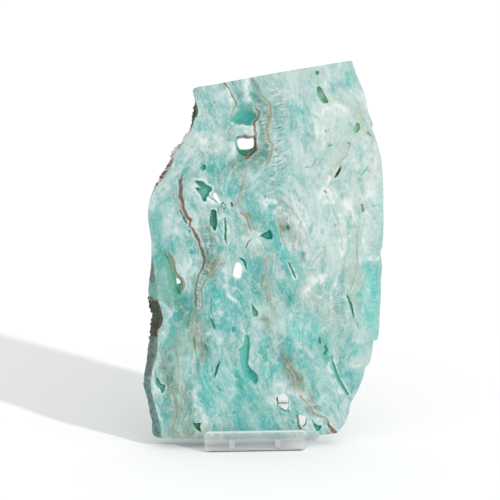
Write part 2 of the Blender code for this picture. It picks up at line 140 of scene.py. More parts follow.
# Vugs: depth in metres, width of the sloping wall in pixels, tone from dark green over teal to leaf
# green, width of the white rim in pixels, and the rim's pixels
FRONT_VUGS = [
    (0.002, 6.5, 0.42, 0.0, (231, 120.5), (234, 115), (239, 110.5), (246, 107.5), (253, 109), (258, 112),
     (260, 116), (257, 120.5), (253.5, 124.3), (247, 125), (243, 123.5), (237, 126), (232.5, 125)),
    (0.003, 1.3, 0.78, 1.6, (318, 87.4), (320.2, 86.5), (323, 88.7), (325.9, 94.4), (329.4, 101.5),
     (328.5, 102.9), (324, 102.9), (320.8, 98.9), (318.3, 94.4)),
    (0.0016, 1.0, 0.62, 1.0, (316, 72.4), (319.5, 70.8), (320.2, 72.6), (318.6, 75.2)),
    (0.0022, 1.3, 0.92, 1.6, (358.1, 122.8), (360.5, 123.8), (361.3, 128.9), (357.5, 133.3), (354.5, 131.4),
     (355.6, 127)),
    (0.0025, 1.8, 0.5, 0.8, (201, 167.1), (203, 163.6), (205.9, 164.2), (206.4, 167.1), (204.7, 169.7),
     (201.8, 169.4)),
    (0.0034, 1.2, 0.56, 2.6, (195.2, 180), (203, 180.9), (205.9, 183.7), (211.5, 186.6), (212, 189.6),
     (209.3, 192), (208.6, 195), (206.7, 196.4), (205.9, 200.4), (203.6, 200.7), (202.4, 198.6),
     (200.1, 193.5), (195.4, 186.6), (201, 188), (198.4, 184.6)),
    (0.003, 1.4, 0.26, 1.8, (211.6, 208.9), (215.9, 210), (216.5, 215.7), (217, 221.5), (215.9, 227.8),
     (214.2, 230.1), (212.2, 226.6), (209.9, 223.2), (209.6, 218.6), (210.7, 213.4)),
    (0.0024, 1.6, 0.36, 1.2, (260.4, 235.2), (264.9, 232.1), (270.1, 229.8), (271.5, 232.7), (272.4, 235),
     (271.8, 238.7), (266.7, 238.7), (263.5, 237.3)),
    (0.002, 5.0, 0.3, 0.0, (164, 251.5), (168.5, 252), (171.5, 257), (174, 264.5), (176.3, 272),
     (181.6, 277.8), (182.4, 285), (179.5, 293), (176, 293.5), (172, 290), (169, 284), (167.5, 275),
     (165.5, 266), (162.5, 259.5), (162, 254)),
    (0.0016, 2.0, 0.5, 0.9, (244.3, 334.9), (247.9, 335.4), (248.8, 341.6), (248.3, 350.5), (247, 363),
     (249.6, 368.4), (255.9, 374.6), (256.3, 380), (254.1, 384.5), (250.5, 380), (245.2, 376.4),
     (240.7, 369.3), (239.4, 360.4), (238.5, 351.4), (236.8, 349.4), (241.6, 346.1), (243.4, 339.8)),
    (0.0014, 1.3, 0.32, 1.4, (154.6, 376), (156.8, 377.3), (159.5, 382.2), (163.6, 383.6), (163.2, 387.1),
     (160.8, 392), (158.6, 387.1), (154.6, 382.7)),
    (0.002, 1.0, 0.2, 1.0, (190.3, 420.6), (193.4, 422.4), (199.2, 422.4), (197.8, 426), (199.2, 430.9),
     (194.7, 428.4), (192.1, 424.6)),
    (0.0014, 1.4, 0.3, 1.4, (250.4, 302.6), (252.6, 305.4), (254.6, 308.6), (256.8, 311.4), (257.2, 314.2),
     (255.6, 316), (252.8, 315.6), (251.8, 311.6), (251.4, 307)),
    (0.0018, 1.0, 0.44, 1.2, (310.9, 420.9), (313.3, 424.1), (316.4, 426.8), (320.8, 427), (319.4, 430.1),
     (317, 432.3), (314.2, 430.3)),
]

# Slits: depth in metres, width in pixels, tone, width of the white rim, and their middle line
FRONT_SLITS = [
    (0.0012, 1.6, 0.25, 1.6, (224.8, 217.5), (225.4, 228.9), (225, 237), (226.2, 241.9)),
    (0.0014, 2.2, 0.04, 1.4, (341.3, 168), (338.6, 173), (336.2, 176.8)),
    (0.001, 1.2, 0.8, 1.4, (367.9, 167.9), (364.5, 172.6), (361.4, 176.3)),
    (0.0012, 1.7, 0.12, 1.8, (180, 209), (183.6, 216.4), (187.1, 222.6)),
    (0.0012, 2.2, 0.42, 0.8, (239.6, 257.6), (243.6, 260.6), (246, 268.4)),
    (0.001, 2.0, 0.26, 1.2, (347.3, 296.7), (350.9, 305.2), (353.6, 317.7)),
    (0.0012, 2.2, 0.34, 0.9, (218, 361.3), (215.7, 367.5), (213.5, 376)),
    (0.0008, 1.3, 0.62, 0.8, (195, 350.5), (195, 360.4)),
    (0.001, 1.6, 0.46, 0.8, (212.6, 424.5), (210.5, 431.5)),
    (0.0012, 3.6, 0.3, 1.0, (210.0, 318.6), (211.4, 322), (213.2, 326.4)),
    (0.001, 1.3, 0.16, 2.0, (288.4, 262.3), (291.6, 269.6), (295.1, 277.5)),
    (0.0012, 3.4, 0.6, 1.4, (332.6, 364.5), (336.4, 377.2), (341.2, 386.5), (346.6, 395)),
]

# Holes that go right through: depth in metres where the opening starts, and the opening's pixels
HOLES = [
    (0.0045, (238, 140), (243.4, 137.5), (248.8, 138.4), (254.1, 137.9), (254.8, 143), (253.6, 147),
     (249, 148.8), (240.4, 148.3)),
    (0.0, (213.4, 192.4), (216, 192.9), (218, 195.2), (219.7, 198.5), (221, 201.2), (219.5, 202.5),
     (216.6, 200.2), (213.9, 196.6)),
    (0.0018, (176, 276.8), (177.8, 277.8), (179.8, 279.9), (179.9, 282.2), (176.4, 282.6)),
    (0.0, (235.4, 262.8), (239.6, 263.2), (241.7, 266.3), (241.6, 273), (239.8, 277.1), (235.4, 277.5),
     (232.7, 274.8), (233.6, 269.4)),
    (0.0, (275, 398), (280, 395), (284, 396), (287.5, 400), (287.5, 409), (284.5, 410.5), (280, 408),
     (276, 404)),
    (0.0, (297.6, 416.5), (303.4, 416.9), (305.7, 420.4), (304.9, 426), (301.2, 428.2), (298.8, 425)),
]

# The hollow around the first hole, described like a vug, and how much wider the holes are at the back
HOLE_RIM = (
    0.0045, 1.0, 0.22, 0.0, (236.3, 136.8), (243.4, 134.8), (249, 136), (255.8, 135.8), (257.2, 143.5),
     (256.2, 150.5), (250.8, 155), (245.5, 156), (239.5, 152.5), (236, 146.5),
)
BACK_HOLE_WIDENING = 1.25

# The back face's own vugs and slits, described like those in front
BACK_VUGS = [
    (0.0024, 2.0, 0.45, 1.4, (300, 120), (306, 116), (313, 121), (316, 132), (311, 140), (304, 136),
     (300, 128)),
    (0.002, 1.6, 0.55, 1.4, (196, 262), (202, 258), (206, 266), (205, 280), (199, 284), (196, 274)),
    (0.0028, 2.0, 0.35, 1.4, (300, 318), (309, 314), (318, 322), (322, 336), (316, 346), (307, 340),
     (302, 330)),
    (0.0018, 1.6, 0.7, 1.4, (344, 214), (350, 212), (353, 222), (351, 234), (345, 232), (343, 222)),
    (0.002, 1.6, 0.5, 1.4, (262, 176), (270, 173), (276, 181), (274, 192), (266, 194), (261, 186)),
    (0.0016, 1.6, 0.4, 1.4, (196, 396), (203, 392), (209, 399), (206, 408), (199, 408)),
]
BACK_SLITS = [
    (0.0014, 3.0, 0.4, 1.2, (228, 98), (232, 110), (230, 122)),
    (0.0014, 3.0, 0.6, 1.2, (336, 266), (340, 280), (338, 296)),
    (0.0012, 2.6, 0.3, 1.2, (246, 420), (256, 412), (268, 410)),
]

# Curves that the stone's layers follow
LAYERS = [
    [(225.5, 82), (229, 87.5), (232, 95.5), (236, 100), (237, 104.5), (234, 110), (230, 122), (229, 134)],
    [(246, 78), (248, 92), (252, 104), (258, 118), (256, 134), (256, 150)],
    [(261.6, 96), (267, 100.4), (271.4, 105.4), (271.4, 114), (269, 121), (268, 130), (270, 138),
     (273.7, 145), (272, 153), (269, 161), (264, 168)],
    [(272, 84), (279, 96), (283, 108), (283, 122), (284, 140), (286, 160), (282, 176)],
    [(296, 70), (298, 90), (300, 110), (304, 130), (304, 150), (300, 168)],
    [(183.6, 174), (181, 190), (184, 208), (190, 217), (191, 226), (199, 240), (204, 260), (196, 280),
     (194.7, 306), (191.6, 330)],
    [(150, 200), (152, 230), (153, 250), (156, 275), (160, 300), (164, 320), (160, 345)],
    [(170, 200), (168, 230), (166, 250), (172, 268), (180, 290), (184, 310), (178, 335)],
    [(170, 330), (175, 347), (176, 366), (178, 380), (180, 391), (184, 409), (183, 435)],
    [(196, 330), (198, 350), (200, 372), (206, 395), (212, 415), (210, 436)],
    [(155, 350), (156, 375), (163, 400), (170, 420), (174, 436)],
    [(243, 332), (248, 350), (247, 366), (256, 380), (262, 392), (270, 404), (274, 420)],
    [(318, 66), (323, 88), (328, 103), (342, 108), (354, 114), (359, 124), (358, 136), (350, 143),
     (344, 158), (336, 177), (330, 190)], [(334, 66), (338, 84), (350, 98), (362, 110), (370, 124)],
    [(320, 108), (322, 126), (320, 145), (314, 160), (310, 172)],
    [(340, 112), (342, 126), (338, 144), (332, 160)],
    [(376, 140), (379, 160), (381, 200), (381, 240), (379, 280), (377, 320), (370, 348), (362, 375),
     (348, 405)],
    [(358, 150), (364, 180), (363, 210), (360, 240), (357, 256), (353, 280), (350, 298), (356, 318),
     (354, 340), (345, 362)],
    [(325, 192), (331, 210), (339, 228), (343, 250), (340, 270), (333, 290), (329, 312), (332, 340),
     (334, 368), (345, 393)],
    [(250, 196), (257, 182), (272, 173), (288, 178), (299, 192), (306, 212), (309, 232), (309, 250)],
    [(254, 208), (262, 193), (275, 187), (287, 193), (294, 207), (297, 222), (296, 240), (296, 258)],
    [(262, 218), (268, 204), (278, 203), (284, 214), (284, 230), (287, 245), (292, 262), (300, 282)],
    [(325, 250), (318, 254), (313, 262), (308, 276), (310, 290), (320, 298), (328, 290), (331, 278)],
    [(266, 254), (265, 279), (267, 300), (268, 320), (273, 345), (284, 367), (292, 379), (294, 390)],
    [(300, 290), (304, 312), (300, 330), (303, 350), (312, 368), (318, 390), (328, 412)],
    [(300, 398), (310, 409), (325, 420), (333, 433)],
    [(196, 92), (204, 112), (203, 132), (192, 152), (178, 168), (168, 182), (160, 200)],
    [(215, 88), (219, 114), (215, 140), (208, 158), (203, 176), (206, 196)],
    [(236, 150), (228, 162), (222, 176), (222, 190), (228, 204)],
    [(262, 152), (250, 160), (238, 168), (232, 180), (232, 198), (242, 212), (250, 228)],
    [(206, 206), (214, 230), (222, 250), (222, 264), (212, 271), (204, 282), (201, 297), (201, 312)],
    [(225, 217), (226, 242), (230, 262), (230, 285), (238, 305), (246, 325)],
    [(248, 240), (252, 262), (256, 284), (262, 305), (262, 325)],
    [(214, 290), (217, 312), (222, 330), (224, 350), (226, 372), (236, 392), (250, 412), (262, 432)],
    [(212, 345), (214, 376), (220, 392), (226, 412), (224, 434)],
    [(292, 360), (286, 376), (280, 392), (284, 410), (292, 430)],
]

# Distance at which a soft stroke ends, in half widths
STROKE_REACH = 2.2

# Washes of pigment and of painted glow: strength, half width in pixels, and the line that the brush follows
WASHES = {
    "aqua": [
        (0.5, 7, (256, 342), (264, 364)), (0.5, 6, (258, 236), (268, 250)),
        (0.3, 8, (328, 290), (336, 310)), (0.5, 8, (158, 264), (163, 290)),
        (0.6, 9, (258, 236), (268, 248)), (0.5, 8, (340, 72), (350, 80)), (0.5, 8, (320, 396), (330, 412)),
        (0.35, 14, (320, 340), (345, 352)), (0.4, 8, (276, 300), (284, 316)),
        (0.36, 46, (230, 262), (240, 330), (232, 405)), (0.24, 32, (300, 325), (300, 400)),
        (0.3, 30, (172, 290), (175, 400)), (0.16, 30, (165, 230), (200, 250)),
        (0.06, 40, (205, 110), (215, 200)), (0.35, 7, (215, 92), (218, 102)),
        (0.4, 7, (202, 96), (206, 112)), (0.35, 6, (238, 86), (240, 98)), (0.5, 6, (254, 84), (258, 94)),
        (0.55, 10, (234, 118), (247, 111), (256, 112)), (0.6, 6, (249, 98), (254, 104)),
        (0.45, 6, (184, 155), (190, 162)), (0.75, 8, (217, 166), (218, 182)),
        (0.75, 8, (226, 166), (230, 180), (228, 188)), (0.3, 8, (165, 180), (158, 195)),
        (0.45, 9, (154, 214), (156, 226)), (0.85, 9, (155, 232), (158, 246), (166, 256)),
        (0.3, 8, (155, 205), (154, 215)), (0.5, 7, (200, 238), (208, 250)),
        (0.4, 5, (219, 226), (216, 246)), (0.5, 7, (267, 177), (280, 180)),
        (0.85, 9, (260, 208), (264, 228)), (0.6, 7, (252, 203), (254, 216)),
        (0.7, 6, (268, 212), (272, 226)), (0.4, 8, (276, 200), (284, 192)), (0.4, 8, (262, 82), (272, 96)),
        (0.55, 11, (296, 108), (306, 116), (310, 128)), (0.45, 6, (276, 112), (278, 124)),
        (0.5, 7, (290, 120), (296, 128)), (0.45, 8, (304, 138), (310, 150)),
        (0.5, 5, (347, 74), (348.5, 82)), (0.45, 8, (335, 86), (344, 90)),
        (0.55, 7, (350, 168), (360, 156)), (0.45, 7, (334, 182), (340, 190)),
        (0.5, 7, (330, 206), (338, 212)), (0.4, 8, (300, 180), (304, 196)),
        (0.35, 6, (320, 165), (322, 180)), (0.35, 8, (292, 160), (284, 172)),
        (0.95, 8, (272, 240), (282, 248), (292, 256)), (0.85, 9, (278, 255), (286, 270)),
        (0.9, 8, (298, 258), (302, 268)), (0.75, 7, (290, 280), (292, 300)),
        (0.8, 6, (254, 262), (258, 282), (256, 298)), (0.5, 6, (213, 270), (215, 300)),
        (0.55, 9, (218, 300), (222, 320)), (0.6, 10, (232, 285), (240, 300)),
        (0.5, 6, (246, 262), (248, 290)), (0.6, 7, (230, 318), (236, 336)),
        (0.5, 8, (205, 300), (208, 318)), (0.7, 7, (168, 240), (176, 246)),
        (0.8, 5, (161, 250), (163, 262)), (0.45, 8, (164, 270), (166, 290)),
        (0.6, 9, (322, 290), (330, 304)), (0.6, 8, (334, 312), (336, 330)),
        (0.5, 8, (318, 300), (312, 316)), (0.45, 6, (340, 275), (344, 290)),
        (0.9, 9, (295, 325), (300, 342)), (0.7, 8, (312, 322), (318, 334)),
        (0.7, 8, (322, 340), (326, 356)), (0.95, 11, (262, 345), (264, 362), (272, 374)),
        (0.7, 6, (254, 330), (256, 345)), (0.75, 11, (282, 345), (295, 354)),
        (0.6, 8, (300, 360), (308, 372)), (0.75, 7, (312, 384), (314, 394)),
        (0.5, 8, (344, 352), (340, 372)), (0.55, 8, (352, 348), (362, 352)),
        (0.45, 8, (356, 370), (350, 386)), (0.7, 9, (262, 375), (268, 392)),
        (0.6, 10, (250, 398), (258, 412)), (0.7, 8, (268, 415), (262, 430)),
        (0.6, 9, (278, 420), (290, 430)), (0.5, 10, (225, 405), (240, 425)),
        (0.5, 9, (214, 425), (224, 432)), (0.8, 6, (203, 372), (206, 392), (208, 410)),
        (0.7, 8, (232, 370), (240, 392)), (0.6, 8, (214, 378), (218, 392)),
        (0.6, 8, (160, 396), (163, 414)), (0.5, 6, (184, 385), (190, 400)),
        (0.6, 5, (237, 346), (236, 360)), (0.5, 8, (226, 345), (222, 360)),
        (0.7, 8, (372, 262), (373, 285)), (0.5, 8, (172, 318), (164, 338)),
        (0.9, 10, (168, 298), (184, 300), (184, 318)), (0.6, 8, (196, 240), (206, 256), (206, 268)),
        (0.6, 8, (213, 336), (220, 352)), (0.6, 7, (324, 274), (330, 286)),
        (0.5, 8, (352, 278), (358, 290)), (0.6, 10, (240, 158), (256, 158)),
        (0.5, 5, (154, 356), (158, 372)), (0.5, 9, (200, 336), (204, 360)),
    ],
    # bright: turquoise in the stone, and along the right edge from x 366 on painted glow of the lamp's
    # light
    "bright": [
        (0.4, 6, (258, 342), (266, 364)), (0.35, 9, (262, 342), (266, 362)),
        (0.2, 26, (310, 330), (320, 390)), (0.2, 9, (345, 74), (350, 84)),
        (0.85, 9, (371, 266), (371, 285)), (0.55, 9, (371, 296), (370, 310), (367, 326)),
        (0.5, 6, (379, 335), (372, 345)), (0.85, 4, (358, 294), (361, 296)),
        (0.6, 4, (362, 306), (365, 316)), (0.2, 8, (366, 345), (360, 366)),
        (0.35, 5, (381, 180), (383, 215), (381, 250)), (0.35, 8, (294, 330), (302, 340)),
        (0.4, 7, (272, 242), (284, 256)), (0.3, 7, (352, 350), (362, 352)),
        (0.5, 5, (236, 374), (240, 386)), (0.3, 9, (205, 375), (208, 405)),
        (0.12, 10, (218, 300), (221, 318)), (0.35, 5, (347, 75), (348, 82)),
        (0.25, 10, (300, 110), (308, 122)), (0.2, 10, (296, 340), (320, 350)),
        (0.3, 9, (262, 208), (264, 228)), (0.25, 10, (264, 380), (262, 425)),
        (0.2, 14, (228, 372), (240, 420)), (0.15, 6, (215, 275), (215, 298)),
        (0.3, 8, (292, 280), (296, 262)), (0.3, 7, (236, 110), (250, 110)),
        (0.3, 6, (218, 166), (219, 180)),
    ],
    "teal": [
        (0.85, 7, (238, 167), (249, 163), (261, 158)), (0.3, 6, (330, 290), (336, 310)),
        (0.3, 5, (264, 238), (266, 248)), (0.75, 6, (250, 161), (262, 156)),
        (0.4, 5, (260, 346), (263, 362)), (0.3, 7, (158, 266), (165, 288)),
        (0.65, 7, (238, 164), (250, 160), (262, 155)), (0.55, 5, (160, 248), (168, 252), (172, 258)),
        (0.35, 8, (168, 298), (184, 302), (184, 318)), (0.7, 3, (235, 373), (237.5, 380), (240, 387)),
        (0.35, 3.5, (212, 166), (224, 174)), (0.4, 4, (234, 347), (233, 357)),
        (0.35, 4, (258, 350), (266, 368)), (0.3, 5, (254, 208), (262, 222)),
        (0.3, 5, (152, 224), (158, 244)), (0.75, 5, (246, 157), (254, 155), (261, 155)),
        (0.4, 3, (247, 216), (250, 226)), (0.6, 5, (238, 116), (250, 106), (256, 108)),
        (0.5, 5, (250, 119), (258, 120)), (0.35, 6, (250, 98), (256, 102)),
        (0.6, 3, (219, 172), (219, 181)), (0.6, 3.4, (163, 251), (168, 254)),
        (0.35, 3, (303, 254), (304, 262)), (0.7, 3, (288, 296), (289, 302)),
        (0.55, 3, (235, 373), (240, 386)), (0.5, 8, (180, 298), (186, 318)),
        (0.4, 3, (348, 75), (348.5, 81)), (0.6, 2.4, (287, 226), (290, 230)),
        (0.35, 3, (315, 420), (317, 430)), (0.45, 5, (163, 300), (174, 300)),
        (0.5, 4, (329, 300), (336, 312)), (0.35, 3, (237, 346), (236, 358)),
        (0.5, 2.5, (214, 276), (215, 290)), (0.35, 4, (266, 174), (270, 176)),
        (0.4, 3, (313, 384), (314, 392)), (0.35, 3, (322, 344), (325, 352)),
        (0.35, 4, (256, 286), (258, 298)),
    ],
    "deep": [
        (0.35, 6, (280, 210), (290, 226), (298, 242)), (0.6, 6, (204, 262), (212, 269), (216, 270)),
        (0.3, 6, (242, 165), (258, 160)), (0.6, 7, (203, 232), (208, 250), (207, 262)),
        (0.5, 6, (206, 262), (214, 270)), (0.5, 6, (284, 366), (290, 378), (293, 390)),
        (0.5, 5, (308, 396), (318, 412)), (0.5, 6, (160, 358), (166, 372), (168, 396)),
        (0.4, 6, (204, 334), (208, 352)), (0.5, 6, (262, 100), (264, 125), (265, 150)),
        (0.25, 7, (234, 168), (246, 163), (262, 157)), (0.4, 5, (198, 240), (205, 258)),
        (0.45, 5, (155, 358), (160, 372)), (0.45, 5, (154, 396), (160, 410)),
        (0.35, 6, (277, 208), (283, 226)), (0.35, 5, (183, 300), (189, 316), (188, 324)),
        (0.12, 30, (175, 330), (185, 420)), (0.7, 3, (229, 82), (233, 87)),
        (0.55, 4.5, (253, 82), (258, 93)), (0.45, 3.5, (236, 92), (239, 106)),
        (0.55, 4.5, (259, 98), (263, 110), (264, 125), (264, 140), (266, 154)),
        (0.5, 5, (244, 158), (252, 156), (262, 154)), (0.6, 5, (231, 167), (242, 164), (254, 163)),
        (0.5, 2.5, (218, 172), (219, 181)), (0.6, 3, (243.5, 214), (247, 224)),
        (0.7, 3, (286, 226), (290, 231)), (0.4, 4, (205, 222), (209, 234)),
        (0.45, 5, (206, 248), (208, 262)), (0.7, 5, (205, 272), (213, 272), (219, 265)),
        (0.5, 4, (211, 280), (218, 272)), (0.55, 8, (180, 300), (186, 318)),
        (0.65, 6, (193, 310), (198, 320), (204, 324)), (0.6, 3, (206, 328), (208, 348)),
        (0.5, 4, (203, 343), (204, 356)), (0.55, 7, (164, 350), (170, 368)),
        (0.45, 6, (163, 372), (168, 385), (170, 398)), (0.45, 6, (188, 388), (190, 402)),
        (0.5, 1.8, (264.5, 268), (265.5, 284)), (0.6, 4, (298, 373), (300, 388)),
        (0.6, 3.5, (309, 402), (315, 412)), (0.45, 4, (265, 318), (263, 334), (268, 350)),
        (0.5, 4, (276, 358), (286, 368)), (0.6, 2.5, (301, 251), (305, 256)),
        (0.6, 3, (279, 144), (281, 152)), (0.4, 4, (196, 172), (194, 178)),
        (0.45, 6, (196, 282), (200, 306)), (0.35, 8, (180, 405), (184, 428)),
        (0.4, 5, (240, 178), (238, 200)), (0.35, 5, (177, 192), (179, 206)),
    ],
    "olive": [
        (0.2, 5, (204, 264), (212, 270)), (0.3, 6, (280, 212), (290, 226), (298, 242)),
        (0.5, 5, (284, 362), (290, 374), (293, 390)), (0.5, 5, (206, 262), (213, 270)),
        (0.4, 4, (308, 396), (316, 408)), (0.7, 3, (330, 430), (335, 435)),
        (0.35, 4, (160, 356), (166, 372), (168, 392)), (0.4, 4, (253, 80), (256, 90)),
        (0.3, 4, (270, 178), (280, 206)), (0.55, 3.2, (245, 172), (242.5, 184), (240.5, 194), (238, 204)),
        (0.65, 3.4, (241, 212), (246, 220), (251, 231)), (0.75, 2.8, (281, 224), (284, 230)),
        (0.5, 3, (280, 232), (284, 243)), (0.65, 6, (199, 334), (198, 345), (200, 358)),
        (0.45, 6, (195, 318), (194, 332)), (0.55, 5, (207, 268), (214, 268), (219, 262)),
        (0.6, 4.5, (289, 373), (294, 382), (297, 390)), (0.5, 4, (303, 399), (311, 410)),
        (0.4, 3.6, (264, 262), (265, 285), (266, 300)),
        (0.35, 3, (266, 318), (269, 332), (276, 350), (284, 366)),
        (0.45, 3.6, (172, 385), (175, 405), (171, 428)), (0.4, 4, (183, 392), (187, 415), (184, 432)),
        (0.35, 3, (195, 360), (195, 374)), (0.45, 6, (172, 434), (195, 436)),
        (0.35, 4, (176, 335), (178, 352)), (0.3, 5, (174, 190), (178, 206)),
        (0.35, 3.4, (262, 97), (270, 106), (271, 120), (268, 132), (271, 143), (272, 152), (267, 162)),
        (0.4, 2.4, (219, 142.5), (220, 147)), (0.3, 6, (196, 282), (200, 306)),
        (0.2, 5, (362, 108), (368, 124), (372, 142)), (0.35, 3, (333, 178), (340, 164)),
    ],
    "sage": [
        (0.5, 1.4, (266, 210), (272, 202), (281, 200), (289, 208), (294, 222)),
        (0.45, 1.4, (300, 196), (309, 212), (313, 232), (312, 250)),
        (0.45, 1.6, (330, 262), (322, 282), (314, 300)), (0.5, 10, (345, 140), (338, 160), (332, 182)),
        (0.5, 9, (366, 128), (374, 150), (374, 182)), (0.4, 6, (344, 222), (350, 236)),
        (0.35, 8, (205, 136), (216, 150)), (0.3, 12, (356, 200), (352, 250)),
        (0.35, 8, (370, 345), (362, 372), (352, 396)), (0.14, 40, (340, 120), (345, 260)),
        (0.18, 30, (318, 290), (340, 330)), (0.6, 4, (196, 89), (199, 90)),
        (0.5, 5, (247, 129), (251, 133)), (0.4, 7, (268, 80), (272, 90)), (0.5, 8, (302, 68), (318, 72)),
        (0.6, 3.5, (322, 76), (324, 86)),
        (0.7, 4, (325, 96), (336, 103), (349, 108), (357, 117), (361, 126)),
        (0.6, 6, (360, 108), (366, 124)), (0.5, 8, (316, 146), (320, 156)),
        (0.6, 6, (345, 146), (340, 158), (336, 170), (332, 180)),
        (0.55, 6, (364, 128), (371, 145), (372, 165), (370, 180)),
        (0.55, 4, (362, 196), (360, 225), (356, 256), (354, 285)),
        (0.55, 3, (327, 198), (336, 216), (344, 238)), (0.45, 7, (196, 170), (190, 176)),
        (0.4, 8, (212, 146), (205, 154)), (0.4, 8, (238, 232), (252, 248)),
        (0.5, 7, (258, 252), (262, 270)), (0.55, 7, (268, 288), (272, 312)),
        (0.35, 5, (266, 318), (270, 332)), (0.5, 6, (300, 375), (302, 388)),
        (0.45, 13, (305, 292), (318, 306), (330, 320)), (0.45, 8, (345, 265), (350, 285), (356, 305)),
        (0.6, 7, (190, 338), (194, 350)), (0.6, 9, (170, 362), (168, 376), (172, 392)),
        (0.6, 6, (172, 400), (172, 420)), (0.5, 8, (188, 425), (198, 434)),
        (0.45, 8, (178, 334), (172, 346)), (0.4, 8, (265, 400), (262, 410)),
        (0.55, 5, (225, 96), (231, 108), (230, 130)), (0.5, 5, (288, 222), (292, 236)),
        (0.45, 9, (160, 268), (163, 290)),
    ],
    "white": [
        (0.35, 9, (366, 140), (374, 170), (374, 230)), (0.4, 5, (345, 222), (346, 236)),
        (0.35, 5, (222, 98), (230, 110)), (0.35, 6, (206, 136), (218, 148)),
        (0.3, 5, (220, 304), (230, 320)), (0.35, 5, (290, 320), (298, 330)),
        (0.55, 1.1, (262, 206), (268, 197), (280, 194), (291, 201), (298, 213), (302, 230)),
        (0.5, 1.1, (257, 200), (266, 190), (280, 187), (293, 194), (302, 208), (307, 226), (308, 246)),
        (0.45, 1.0, (296, 186), (308, 204), (313, 224), (314, 244)),
        (0.45, 1.0, (318, 206), (322, 226), (320, 244)),
        (0.45, 1.0, (272, 214), (281, 209), (289, 216), (292, 232)), (0.3, 10, (370, 150), (376, 190)),
        (0.4, 1.2, (344, 262), (338, 284), (330, 304), (332, 322)), (0.12, 40, (330, 110), (345, 230)),
        (0.8, 1.5, (323.5, 194), (317, 204)), (0.75, 1.3, (327, 195), (332, 203)),
        (0.7, 1.3, (322, 191), (314, 189)), (0.7, 1.3, (327, 188), (332, 180)),
        (0.5, 7, (222, 196), (232, 203)), (0.4, 8, (216, 98), (228, 110)), (0.4, 6, (214, 134), (224, 148)),
        (0.2, 45, (330, 90), (340, 220)), (0.14, 30, (320, 260), (350, 300)),
        (0.16, 16, (168, 195), (172, 225)), (0.2, 14, (245, 175), (256, 196)),
        (0.7, 3.5, (203, 130), (208, 136)), (0.5, 4, (206, 142), (212, 148)),
        (0.55, 3.5, (225, 98), (229, 108)), (0.6, 3, (244, 78), (246, 92)),
        (0.6, 3.5, (244, 94), (247, 101)), (0.8, 3, (240, 127), (253, 126)),
        (0.5, 4, (236, 130), (250, 133)), (0.6, 4, (234, 144), (237, 154)),
        (0.55, 7, (320, 115), (323, 130), (318, 145)), (0.35, 6, (330, 76), (329, 84)),
        (0.45, 7, (366, 96), (369, 106)), (0.45, 5, (330, 110), (346, 116)),
        (0.5, 3, (267, 173), (274, 176)), (0.8, 4, (262, 200), (270, 204)),
        (0.75, 6, (318, 196), (326, 203)), (0.65, 6, (343, 204), (350, 214)),
        (0.5, 4, (372, 182), (374, 192)), (0.5, 3, (368, 234), (369, 250)),
        (0.7, 2.4, (364, 257.5), (380, 258.5)), (0.9, 5, (310, 289), (314, 281), (324, 275)),
        (0.55, 3, (222, 216), (222, 240)), (0.65, 2.5, (186, 258), (187, 268)),
        (0.45, 4, (193, 268), (188, 288)), (0.6, 2.5, (228, 272), (226, 290), (232, 302)),
        (0.7, 2.5, (248, 232), (259, 235)), (0.5, 5, (243, 238), (262, 244)),
        (0.45, 6, (276, 212), (284, 218)), (0.7, 4, (192, 181), (198, 190), (203, 199)),
        (0.5, 3, (207, 196), (212, 203)), (0.35, 1.4, (252, 348), (262, 364), (268, 380)),
        (0.6, 3, (293, 348), (301, 350)), (0.7, 5, (281, 391), (292, 394)),
        (0.7, 4, (272, 400), (273, 408)), (0.45, 4, (194, 388), (197, 405), (198.5, 415)),
        (0.4, 2.2, (152, 388), (156, 405), (159, 418)), (0.7, 4, (319, 420), (308, 430)),
        (0.55, 3, (354, 364), (360, 366)), (0.6, 1.6, (330, 362), (333, 380), (340, 392)),
        (0.4, 5, (210, 330), (220, 338)), (0.5, 5, (296, 392), (304, 394)),
        (0.45, 2.4, (160.5, 300), (164, 312), (164.5, 320), (160, 331), (158.5, 345), (157, 356),
         (153.5, 368)), (0.35, 8, (222, 372), (226, 398)),
    ],
}

# Places inside the vugs that are darker (below 0) or lighter than the vug's own tone: partly their own
# colour, partly painted shade on walls turned from the lamp and painted light on walls facing it
VUG_SHIFTS_AND_PAINTED_SHADE = [
    (-0.28, 3, (257, 109), (259.5, 117)), (0.15, 5, (234, 117), (242, 111)),
    (-0.08, 5, (250, 121), (255, 111)), (0.5, 3, (237.4, 140), (237.6, 148)),
    (-0.08, 3, (246, 154), (254, 149)), (0.22, 3, (213.5, 227), (214.5, 230)),
    (0.08, 4, (165, 252), (171, 257)), (-0.28, 3.4, (176, 288), (180, 292), (181.5, 285)),
    (0.1, 4, (246, 337), (242, 350)), (-0.22, 1.6, (246.4, 345), (246.8, 360)),
    (-0.3, 4, (249, 372), (254, 381)), (-0.12, 2, (225, 221), (225.4, 226)),
]

# Parts of the vugs' walls that keep the stone's own colour
BARE = [
    (1.0, 3.2, (237, 136.4), (247, 136.2), (256, 136)), (0.8, 2.6, (236, 139), (236.5, 146)),
    (1.0, 1.6, (257, 137), (257, 146)), (0.7, 2.2, (323, 93), (324, 96)),
    (0.9, 3.0, (243, 107.5), (252, 108), (256, 110)), (0.7, 3.0, (231, 116), (234, 112), (238, 109.5)),
    (0.8, 2.4, (232, 124), (238, 126.5)), (0.9, 1.6, (250, 353), (249, 363)),
]

